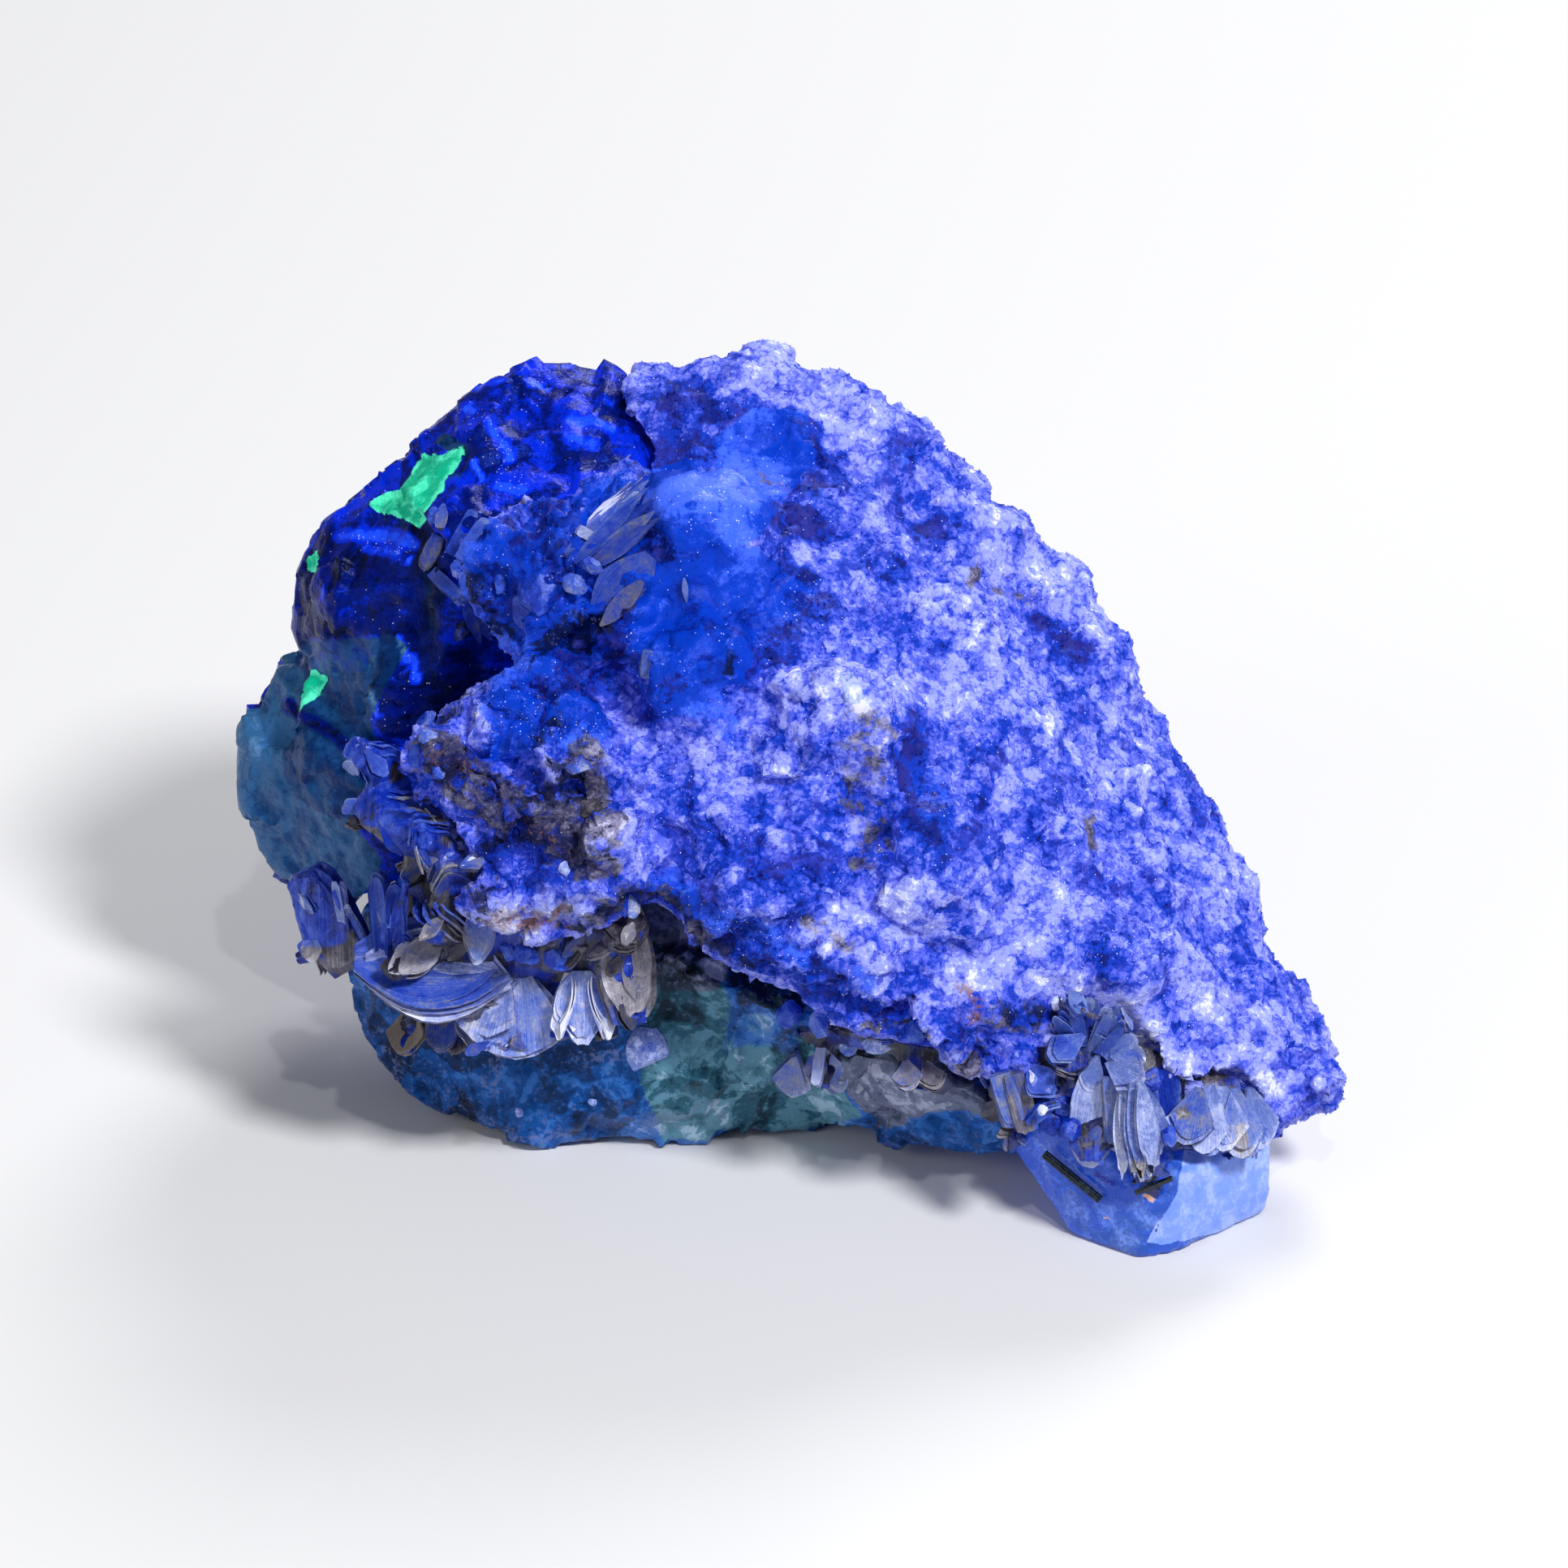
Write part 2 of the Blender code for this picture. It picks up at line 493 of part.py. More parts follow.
def clear_crystal():
    """The pale wedge at the front right, with softened edges."""
    bm = bmesh.new()
    add_hull(bm, CLEAR_CRYSTAL)
    bmesh.ops.dissolve_limit(bm, angle_limit=math.radians(2), verts=bm.verts, edges=bm.edges)
    obj = object_from(bm, "clear_crystal")
    bevel = obj.modifiers.new("Softened edges", "BEVEL")
    bevel.width = CLEAR_BEVEL * MM
    bevel.limit_method = "ANGLE"
    settle(obj)
    return obj


def needle(name, start, end, radius):
    """A six-sided schorl needle."""
    start, end = Vector(start), Vector(end)
    axis = end - start
    place = Matrix.Translation((start + end) / 2) @ axis.to_track_quat("Z", "Y").to_matrix().to_4x4()
    bm = bmesh.new()
    bmesh.ops.create_cone(
        bm, cap_ends=True, segments=NEEDLE_SIDES, radius1=radius, radius2=radius, depth=axis.length,
        matrix=place,
    )
    return object_from(bm, name)


def dress(obj, finish):
    """Give an object its finish."""
    obj.data.materials.clear()
    obj.data.materials.append(finish)


def centre(pieces):
    """Bring the middle of the common bounding box over the origin."""
    corners = [vert.co for piece in pieces for vert in piece.data.vertices]
    middle = Vector((
        (min(c.x for c in corners) + max(c.x for c in corners)) / 2,
        (min(c.y for c in corners) + max(c.y for c in corners)) / 2,
        0.0,
    ))
    for piece in pieces:
        piece.data.transform(Matrix.Translation(-middle))
        piece.data.update()


def build():
    """Make every piece, from the ones kept whole to the crust that gives way to them all."""
    clear_scene()
    needles = [needle(name, *size) for name, size in NEEDLES.items()]
    left_mica = mica_books("mica_books_left", LEFT_MICA, LEFT_MICA_ROOTS)
    right_mica = mica_books("mica_books_right", RIGHT_MICA, RIGHT_MICA_ROOTS)
    make_room(right_mica, needles)
    foot = clear_crystal()
    make_room(foot, [*needles, right_mica])
    base = grow(
        "fluorite_base", [BASE_BLOCK, BASE_LOBE], (), (), BASE_GRAIN, BASE_FACES,
        BASE_FACET, BASE_FACET_RISE, rounding=2, swell=0.1,
    )
    make_room(base, [left_mica, right_mica, foot, *needles])
    left = grow(
        "fluorite_left", [UPPER_FLUORITE, LOWER_FLUORITE], (), (), FLUORITE_GRAIN, FLUORITE_FACES,
        FLUORITE_FACET, FLUORITE_FACET_RISE, rounding=4, swell=0.1,
    )
    make_room(left, [left_mica, base])
    crust = grow(
        "feldspar_crust", [CRUST_DOME, CRUST_BACK, CRUST_LEDGE, CRUST_SADDLE], CRUST_LUMPS, CRUST_HOLLOWS,
        CRUST_GRAIN, CRUST_FACES, CRUST_FACET, CRUST_FACET_RISE, rounding=3, swell=0.35,
    )
    make_room(crust, [left_mica, right_mica, base, left, foot, *needles])

    finishes = {
        material("feldspar", VIOLET_BLUE, 0.7): [crust],
        material("fluorite_deep_blue", DEEP_BLUE, 0.2): [left],
        material("fluorite_teal", TEAL, 0.2): [base],
        material("clear_crystal", PALE_BLUE, 0.15): [foot],
        material("mica", PEARL, 0.3): [left_mica, right_mica],
        material("schorl", BLACK_GREEN, 0.25): needles,
    }
    for finish, pieces in finishes.items():
        for piece in pieces:
            dress(piece, finish)
    centre([piece for pieces in finishes.values() for piece in pieces])


build()
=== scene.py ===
"""The looks of a fluorite specimen, built round its solids.

A sugary feldspar crust lies over two fluorite crystals, with curled mica books along its lower edge, a clear
crystal under its right end and two schorl needles. Each mineral is a class that grows its fine mesh on the
solid of the same place, and each finish is a frozen dataclass that builds a material.

Lengths are in metres, unless a name ends in _mm. A place on the specimen's face is given in pixels of the
camera's square frame, and is carried onto the surface that the camera sees there.
"""

import logging
import math
from collections.abc import Sequence
from dataclasses import dataclass, field
from enum import Enum, StrEnum
from typing import ClassVar

import bmesh
import bpy
import numpy as np
from bpy.types import Material, Mesh, Node, NodeSocket, NodeTree, Object
from mathutils import Matrix, Vector, noise
from mathutils.bvhtree import BVHTree


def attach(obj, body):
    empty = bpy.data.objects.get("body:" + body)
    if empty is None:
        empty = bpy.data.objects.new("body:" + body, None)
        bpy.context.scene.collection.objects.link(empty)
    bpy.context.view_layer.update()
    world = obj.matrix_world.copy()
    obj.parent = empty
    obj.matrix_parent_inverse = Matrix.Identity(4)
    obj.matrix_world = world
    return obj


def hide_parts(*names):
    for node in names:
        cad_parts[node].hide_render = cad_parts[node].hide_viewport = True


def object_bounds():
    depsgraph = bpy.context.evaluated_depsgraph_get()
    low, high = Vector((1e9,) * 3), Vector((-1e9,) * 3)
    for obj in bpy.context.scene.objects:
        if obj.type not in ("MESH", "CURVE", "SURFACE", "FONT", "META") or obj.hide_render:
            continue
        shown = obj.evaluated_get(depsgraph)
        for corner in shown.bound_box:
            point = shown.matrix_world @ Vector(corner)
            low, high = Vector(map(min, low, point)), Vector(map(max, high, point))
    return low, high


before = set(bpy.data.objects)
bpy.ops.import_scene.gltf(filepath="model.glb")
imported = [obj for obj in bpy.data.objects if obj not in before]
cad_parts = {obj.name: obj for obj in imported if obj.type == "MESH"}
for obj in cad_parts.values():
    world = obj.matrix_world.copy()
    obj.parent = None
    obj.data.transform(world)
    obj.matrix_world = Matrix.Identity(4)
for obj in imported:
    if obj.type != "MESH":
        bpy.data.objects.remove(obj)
CAD_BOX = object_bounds()

MM = 0.001
Triple = tuple[float, float, float]
Colour = Triple
Pixel = tuple[float, float]
log = logging.getLogger("specimen")


# Camera and marks on the face


@dataclass(frozen=True)
class Viewpoint:
    """The camera, whose square frame is side pixels wide, each of them pixel wide at the target's distance."""

    side: int = 1932
    pixel: float = 0.05 * MM
    distance: float = 0.45
    elevation: float = math.radians(30.0)
    target: tuple[float, float, float] = (-0.14 * MM, -4.02 * MM, 23.5 * MM)
    sensor: float = 0.036

    @property
    def back(self) -> Vector:
        """The direction from the target to the camera."""
        return Vector((0.0, -math.cos(self.elevation), math.sin(self.elevation)))

    @property
    def up(self) -> Vector:
        """The direction that is up in the frame."""
        return Vector((0.0, math.sin(self.elevation), math.cos(self.elevation)))

    @property
    def eye(self) -> Vector:
        """Where the camera stands."""
        return Vector(self.target) + self.back * self.distance

    def ray(self, pixel: Pixel) -> Vector:
        """The direction from the camera through a pixel."""
        right = (pixel[0] - self.side / 2) * self.pixel
        rise = (self.side / 2 - pixel[1]) * self.pixel
        return (Vector((right, 0.0, 0.0)) + self.up * rise - self.back * self.distance).normalized()

    def at(self, x: float, y: float, depth_mm: float) -> Vector:
        """The point seen at a pixel, at this depth.

        Args:
            x: Pixel column.
            y: Pixel row.
            depth_mm: The point's Y coordinate, counted from the target's, in millimetres.

        Returns:
            The point, in metres.
        """
        direction = self.ray((x, y))
        reach = (self.target[1] + depth_mm * MM - self.eye.y) / direction.y
        return self.eye + direction * reach

    def project(self, points: np.ndarray) -> np.ndarray:
        """The pixels that points fall on.

        Args:
            points: Points, one a row.

        Returns:
            Their pixel columns and rows, one pair a row.
        """
        local = points - np.array(self.eye)
        away = -(local @ np.array(self.back))
        column = local[:, 0] / away * self.distance / self.pixel + self.side / 2
        row = self.side / 2 - local @ np.array(self.up) / away * self.distance / self.pixel
        return np.stack([column, row], axis=1)

    def touch(self, x: float, y: float, lift_mm: float) -> Vector:
        """The nearest surface seen at a pixel, or a little in front of it.

        Args:
            x: Pixel column.
            y: Pixel row.
            lift_mm: How far in front, in millimetres.

        Returns:
            The point, in metres.
        """
        graph = bpy.context.evaluated_depsgraph_get()
        graph.update()
        met, place, *_ = bpy.context.scene.ray_cast(graph, self.eye, self.ray((x, y)))
        return (place if met else self.at(x, y, 0.0)) + self.back * lift_mm * MM

    def place_camera(self) -> None:
        """Make the scene's camera."""
        data = bpy.data.cameras.new("camera")
        data.sensor_width = self.sensor * 1000
        data.lens = data.sensor_width * self.distance / (self.side * self.pixel)
        data.clip_start = 0.01
        camera = bpy.data.objects.new("camera", data)
        camera.location = self.eye
        camera.rotation_euler = (-self.back).to_track_quat("-Z", "Y").to_euler()
        bpy.context.scene.collection.objects.link(camera)
        bpy.context.scene.camera = camera


VIEW = Viewpoint()


@dataclass(frozen=True)
class Stroke:
    """A mark round a path of pixels, or round one pixel; a painted field comes to its level at its middle."""

    path: tuple[Pixel, ...]
    reach_mm: float
    level: float = 0.0


@dataclass(frozen=True)
class Patch:
    """A mark inside a closed outline of pixels, on the side towards the camera, with a soft edge."""

    outline: tuple[Pixel, ...]
    level: float = 1.0
    edge_mm: float = 0.15


def marks(*rows: Patch | tuple[Pixel | float, ...]) -> tuple[Stroke | Patch, ...]:
    """Marks on a surface.

    Args:
        rows: Patches, and for each stroke a row of its pixels, its reach and its level.

    Returns:
        The strokes and patches.
    """
    made: list[Stroke | Patch] = []
    for row in rows:
        if isinstance(row, tuple):
            path = tuple(item for item in row if isinstance(item, tuple))
            row = Stroke(path, *row[len(path):])
        made.append(row)
    return tuple(made)


class Mark(StrEnum):
    """What a mark on a mineral shows, and the name of the attribute that carries it."""

    TONE = "tone"
    WARMTH = "warmth"
    TEAL = "teal"
    FROST = "frost"
    CLEAR = "clear"
    STAIN = "stain"
    RUST = "rust"
    # DARK: painted shade on the crust, and dark lines in the clear crystal
    DARK = "dark"
    SPARKLE = "sparkle"
    HYALITE = "hyalite"
    VEIL = "veil"
    GREEN = "green"
    SMOKE = "smoke"
    PALE = "pale"


FAR_OUTSIDE_MM = -4.0


# Fine surfaces


def link(name: str, mesh: Mesh) -> Object:
    """Put a mesh into the scene as an object of this name."""
    obj = bpy.data.objects.new(name, mesh)
    bpy.context.scene.collection.objects.link(obj)
    return obj


def evaluated(obj: Object) -> Mesh:
    """The mesh that an object's modifiers make, with its attributes; the object is removed."""
    graph = bpy.context.evaluated_depsgraph_get()
    graph.update()
    mesh = bpy.data.meshes.new_from_object(obj.evaluated_get(graph), preserve_all_data_layers=True, depsgraph=graph)
    bpy.data.objects.remove(obj)
    return mesh


def smooth_noise(points: np.ndarray, size: float, octaves: int = 1, seed: int = 0) -> np.ndarray:
    """Smooth noise at points.

    Args:
        points: Points, one a row.
        size: Width of the largest swells.
        octaves: How many sizes are added, each half the one before.
        seed: Which noise.

    Returns:
        A number for each point, mostly between -1 and 1.
    """
    scaled = points / size + np.array([17.3, 5.1, 9.7]) * seed
    return np.array([noise.fractal(Vector(p), 1.0, 2.0, octaves) for p in scaled])


def crystal_mosaic(points: np.ndarray, size: float, tilt: float, seed: int = 0) -> np.ndarray:
    """Heights of a mosaic of small crystals: every cell is a plane of its own height and tilt.

    Args:
        points: Points, one a row.
        size: Mean width of a cell.
        tilt: How steeply the planes lean.
        seed: Which mosaic.

    Returns:
        A height for each point, about -1 to 1.
    """
    heights = np.empty(len(points))
    for index, point in enumerate(points / size + np.array([3.1, 8.7, 1.9]) * seed):
        place = Vector(point)
        centre = noise.voronoi(place)[1][0]
        lean = noise.cell_vector(centre * 13.7) * 2.0 - Vector((1.0, 1.0, 1.0))
        heights[index] = noise.cell(centre * 7.9) * 2.0 - 1.0 + lean.dot(place - centre) * tilt
    return heights


class FineSurface:
    """A dense skin grown on one solid, whose points are moved and marked before it becomes a piece."""

    def __init__(self, mesh: Mesh) -> None:
        """Take up a mesh."""
        self.mesh = mesh
        self.points = np.empty((0, 3))
        self.normals = np.empty((0, 3))
        self._read()

    @classmethod
    def grown_on(cls, node: str, grain: float, smoothing: int) -> "FineSurface":
        """Grow a skin on a solid.

        Args:
            node: The solid's name.
            grain: Width of the skin's faces.
            smoothing: How often its points are averaged with their neighbours.

        Returns:
            The skin.
        """
        solid = bmesh.new()
        solid.from_mesh(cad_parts[node].data)
        bmesh.ops.remove_doubles(solid, verts=solid.verts, dist=1e-6)
        mesh = bpy.data.meshes.new(node)
        solid.to_mesh(mesh)
        solid.free()
        obj = link(f"{node}_skin", mesh)
        remesh = obj.modifiers.new("Fine", "REMESH")
        remesh.mode = "VOXEL"
        remesh.voxel_size = grain
        soften = obj.modifiers.new("Soft", "SMOOTH")
        soften.iterations = smoothing
        return cls(evaluated(obj))

    def _read(self) -> None:
        """Copy the points and their normals out of the mesh."""
        count = len(self.mesh.vertices)
        flat = np.empty(count * 3)
        self.mesh.vertices.foreach_get("co", flat)
        self.points = flat.reshape(-1, 3).copy()
        self.mesh.vertices.foreach_get("normal", flat)
        self.normals = flat.reshape(-1, 3).copy()

    def push(self, rise: np.ndarray) -> None:
        """Move every point along its normal, and keep the skin in the solids' box.

        Args:
            rise: How far each point moves.
        """
        self.points = np.clip(self.points + self.normals * rise[:, None], *CAD_BOX)
        self.mesh.vertices.foreach_set("co", self.points.ravel())
        self.mesh.update()
        self._read()

    def tree(self) -> BVHTree:
        """A tree of the skin's faces, to find where a ray meets them."""
        return BVHTree.FromPolygons([Vector(p) for p in self.points], [tuple(f.vertices) for f in self.mesh.polygons])

    def depth_in(self, stroke: Stroke, faces: BVHTree) -> np.ndarray:
        """How deep inside a stroke each point lies.

        Args:
            stroke: The mark. A pixel that misses the surface is left out.
            faces: The skin's faces.

        Returns:
            Millimetres inside the stroke, negative outside.
        """
        depth = np.full(len(self.points), FAR_OUTSIDE_MM)
        hits = [faces.ray_cast(VIEW.eye, VIEW.ray(pixel))[0] for pixel in stroke.path]
        route = [np.array(hit) for hit in hits if hit is not None]
        for start, end in zip(route, route[1:] or route):
            run = end - start
            share = ((self.points - start) @ run) / max(1e-12, float(run @ run))
            nearest = start + np.clip(share, 0.0, 1.0)[:, None] * run
            away = np.linalg.norm(self.points - nearest, axis=1) / MM
            depth = np.maximum(depth, stroke.reach_mm - away)
        return depth

    def along(self, strokes: Sequence[Stroke]) -> np.ndarray:
        """How deep inside the nearest of these strokes each point lies, in millimetres, negative outside."""
        faces = self.tree()
        return np.max([self.depth_in(stroke, faces) for stroke in strokes], axis=0)

    def painted(self, base: float, strokes: Sequence[Stroke | Patch]) -> np.ndarray:
        """A field painted over the skin with soft strokes and outlined patches, one over another.

        Args:
            base: Its value where nothing is painted.
            strokes: Strokes, each fading from its level at its middle to nothing at its reach, and patches.

        Returns:
            The field's value at each point.
        """
        faces = self.tree()
        field_value = np.full(len(self.points), base)
        for stroke in strokes:
            if isinstance(stroke, Patch):
                share = np.clip(self.inside([stroke.outline]) / stroke.edge_mm + 0.5, 0.0, 1.0)
            else:
                share = np.clip(self.depth_in(stroke, faces) / (0.7 * stroke.reach_mm), 0.0, 1.0)
            field_value += (stroke.level - field_value) * share * share * (3.0 - 2.0 * share)
        return field_value

    def inside(self, outlines: Sequence[Sequence[Pixel]]) -> np.ndarray:
        """How deep inside these outlines each point is seen.

        Args:
            outlines: Closed outlines, in pixels. Only the side towards the camera is marked.

        Returns:
            Millimetres from the edge of the nearest outline, negative outside.
        """
        seen = VIEW.project(self.points)
        depth = np.full(len(self.points), FAR_OUTSIDE_MM)
        for outline in outlines:
            ring = np.array(outline, dtype=float)
            away = np.full(len(seen), np.inf)
            within = np.zeros(len(seen), dtype=bool)
            for start, end in zip(ring, np.roll(ring, -1, axis=0)):
                run = end - start
                share = np.clip(((seen - start) @ run) / float(run @ run), 0.0, 1.0)
                away = np.minimum(away, np.linalg.norm(seen - start - share[:, None] * run, axis=1))
                if start[1] != end[1]:
                    spans = (start[1] > seen[:, 1]) != (end[1] > seen[:, 1])
                    crossing = start[0] + (seen[:, 1] - start[1]) / (end[1] - start[1]) * run[0]
                    within ^= spans & (seen[:, 0] < crossing)
            signed = np.where(within, away, -away) * VIEW.pixel / MM
            depth = np.maximum(depth, signed)
        facing = self.normals @ np.array(VIEW.back)
        return np.where(facing > -0.1, depth, FAR_OUTSIDE_MM)

    def mark(self, name: str, values: np.ndarray) -> None:
        """Store a number for each point as an attribute of this name."""
        layer = self.mesh.attributes.new(name, "FLOAT", "POINT")
        layer.data.foreach_set("value", values.astype(np.float32))

    def piece(self, name: str, material: Material) -> Object:
        """Turn the skin into an object.

        Args:
            name: The object's name.
            material: Its finish.

        Returns:
            The object, shaded smooth.
        """
        self.mesh.materials.clear()
        self.mesh.materials.append(material)
        self.mesh.polygons.foreach_set("material_index", [0] * len(self.mesh.polygons))
        self.mesh.polygons.foreach_set("use_smooth", [True] * len(self.mesh.polygons))
        return link(name, self.mesh)


def join_meshes(name: str, meshes: Sequence[Mesh]) -> Object:
    """Join meshes into one object, with their attributes.

    Args:
        name: The object's name.
        meshes: The meshes; they are used up.

    Returns:
        The joined object.
    """
    parts = [link(f"{name}_{index}", mesh) for index, mesh in enumerate(meshes)]
    with bpy.context.temp_override(active_object=parts[0], object=parts[0], selected_editable_objects=parts):
        bpy.ops.object.join()
    parts[0].name = name
    return parts[0]


# Node graphs


class Value:
    """A number in a node graph, on which arithmetic can be written."""

    def __init__(self, graph: "Graph", socket: NodeSocket) -> None:
        """Wrap an output socket of a graph."""
        self.graph = graph
        self.socket = socket

    def __add__(self, other: "Value | float") -> "Value":
        """Self plus other."""
        return self.graph.maths("ADD", self, other)

    def __sub__(self, other: "Value | float") -> "Value":
        """Self less other."""
        return self.graph.maths("SUBTRACT", self, other)

    def __rsub__(self, other: float) -> "Value":
        """Other less self."""
        return self.graph.maths("SUBTRACT", other, self)

    def __mul__(self, other: "Value | float") -> "Value":
        """Self times other."""
        return self.graph.maths("MULTIPLY", self, other)

    def __gt__(self, other: float) -> "Value":
        """1 where self is over other."""
        return self.graph.maths("GREATER_THAN", self, other)

    __radd__ = __add__
    __rmul__ = __mul__

    def step(self, low: float, high: float) -> "Value":
        """A smooth step from 0 at low to 1 at high."""
        made = self.graph.node(
            "ShaderNodeMapRange",
            {"interpolation_type": "SMOOTHSTEP"},
            {"Value": self, "From Min": low, "From Max": high},
        )
        return Value(self.graph, made.outputs["Result"])


class Graph:
    """Builds the nodes of a material or of a Geometry Nodes tree."""

    def __init__(self, tree: NodeTree) -> None:
        """Start on an empty tree."""
        self.tree = tree

    def node(
        self, kind: str, settings: dict[str, object] | None = None, inputs: dict[str | int, object] | None = None
    ) -> Node:
        """Add one node.

        Args:
            kind: Its type.
            settings: Its settings, set first.
            inputs: Values or links for its sockets.

        Returns:
            The node.
        """
        made = self.tree.nodes.new(kind)
        for name, value in (settings or {}).items():
            setattr(made, name, value)
        for name, value in (inputs or {}).items():
            self.feed(made.inputs[name], value)
        return made

    def feed(self, socket: NodeSocket, value: object) -> None:
        """Give an input socket a value, a link or a colour."""
        if isinstance(value, Value):
            self.tree.links.new(value.socket, socket)
        elif isinstance(value, NodeSocket):
            self.tree.links.new(value, socket)
        elif socket.type == "RGBA":
            socket.default_value = (*value, 1.0)
        else:
            socket.default_value = value

    def maths(self, operation: str, first: Value | float, second: Value | float) -> Value:
        """A Math node on two numbers."""
        made = self.node("ShaderNodeMath", {"operation": operation}, {0: first, 1: second})
        return Value(self, made.outputs[0])


class Surface(Graph):
    """The graph of one material."""

    def __init__(self, name: str) -> None:
        """Start a material of this name."""
        self.material = bpy.data.materials.new(name)
        self.material.use_nodes = True
        self.material.cycles.emission_sampling = "NONE"
        super().__init__(self.material.node_tree)
        self.tree.nodes.clear()
        self.place = self.node("ShaderNodeTexCoord").outputs["Object"]

    def carried(self, *names: str) -> list[Value]:
        """Numbers that the mesh carries under these names."""
        made = [self.node("ShaderNodeAttribute", {"attribute_name": name}) for name in names]
        return [Value(self, node.outputs["Fac"]) for node in made]

    def noise(
        self, size: float, detail: float = 2.0, roughness: float = 0.5, distortion: float = 0.0,
        vector: NodeSocket | None = None,
    ) -> Value:
        """Smooth noise from 0 to 1, centred on 0.5, whose swells have this size."""
        made = self.node(
            "ShaderNodeTexNoise",
            inputs={
                "Vector": vector or self.place, "Scale": 1.0 / size, "Detail": detail, "Roughness": roughness,
                "Distortion": distortion,
            },
        )
        return Value(self, made.outputs[0])

    def cells(self, size: float, warp: float = 0.0) -> tuple[Value, Value]:
        """A mosaic of crystals.

        Args:
            size: Their mean width.
            warp: How far noise bends their edges, as a share of it.

        Returns:
            Each crystal's own random number, and the distance to its centre.
        """
        place = self.place
        if warp:
            bend = self.node("ShaderNodeTexNoise", inputs={"Vector": self.place, "Scale": 1.6 / size, "Detail": 1.0})
            centred = self.node("ShaderNodeVectorMath", {"operation": "SUBTRACT"}, {0: bend.outputs["Color"]})
            centred.inputs[1].default_value = (0.5, 0.5, 0.5)
            moved = self.node(
                "ShaderNodeVectorMath", {"operation": "MULTIPLY_ADD"}, {0: centred.outputs[0], 2: self.place}
            )
            moved.inputs[1].default_value = (warp * size, warp * size, warp * size)
            place = moved.outputs[0]
        made = self.node("ShaderNodeTexVoronoi", inputs={"Vector": place, "Scale": 1.0 / size})
        parts = self.node("ShaderNodeSeparateColor", inputs={0: made.outputs["Color"]})
        return Value(self, parts.outputs[0]), Value(self, made.outputs["Distance"])

    def stretched(self, scale: Triple, turn: Triple) -> NodeSocket:
        """Object coordinates, turned and stretched, for streaks and grain."""
        made = self.node("ShaderNodeMapping", inputs={"Vector": self.place, "Scale": scale, "Rotation": turn})
        return made.outputs["Vector"]

    def mix(self, share: Value | float, first: object, second: object) -> NodeSocket:
        """A colour between two colours."""
        made = self.node("ShaderNodeMix", {"data_type": "RGBA"}, {0: share, 6: first, 7: second})
        return made.outputs[2]

    def seams(self, size: float, width: float) -> Value:
        """Straight lines between large crystals.

        Args:
            size: The crystals' mean width.
            width: The lines' width, as a share of it.

        Returns:
            1 on the lines, fading to 0 beside them.
        """
        made = self.node(
            "ShaderNodeTexVoronoi", {"feature": "DISTANCE_TO_EDGE"}, {"Vector": self.place, "Scale": 1.0 / size}
        )
        return 1 - Value(self, made.outputs["Distance"]).step(0.0, width)

    def ramp(self, level: Value, tones: Sequence[Colour], stops: Sequence[float], width: float) -> object:
        """A colour that climbs through tones as a level rises.

        Args:
            level: The level.
            tones: The colours, from the lowest up.
            stops: Where one gives way to the next.
            width: Over what span.

        Returns:
            The colour.
        """
        colour: object = tones[0]
        for tone, stop in zip(tones[1:], stops):
            colour = self.mix(level.step(stop - width / 2, stop + width / 2), colour, tone)
        return colour

    def bump(self, height: Value, depth: float) -> NodeSocket:
        """A normal that follows a height from 0 to 1, raised by this depth."""
        return self.node("ShaderNodeBump", inputs={"Height": height, "Distance": depth, "Strength": 1.0}).outputs[0]

    def principled(self, inputs: dict[str | int, object]) -> NodeSocket:
        """The shader of a Principled BSDF with these sockets."""
        return self.node("ShaderNodeBsdfPrincipled", inputs=inputs).outputs[0]

    def finish(self, shader: NodeSocket, volume: NodeSocket | None = None) -> Material:
        """Connect the shader to the output and give the material back."""
        output = self.node("ShaderNodeOutputMaterial", inputs={"Surface": shader})
        if volume is not None:
            self.feed(output.inputs["Volume"], volume)
        return self.material


# Finishes


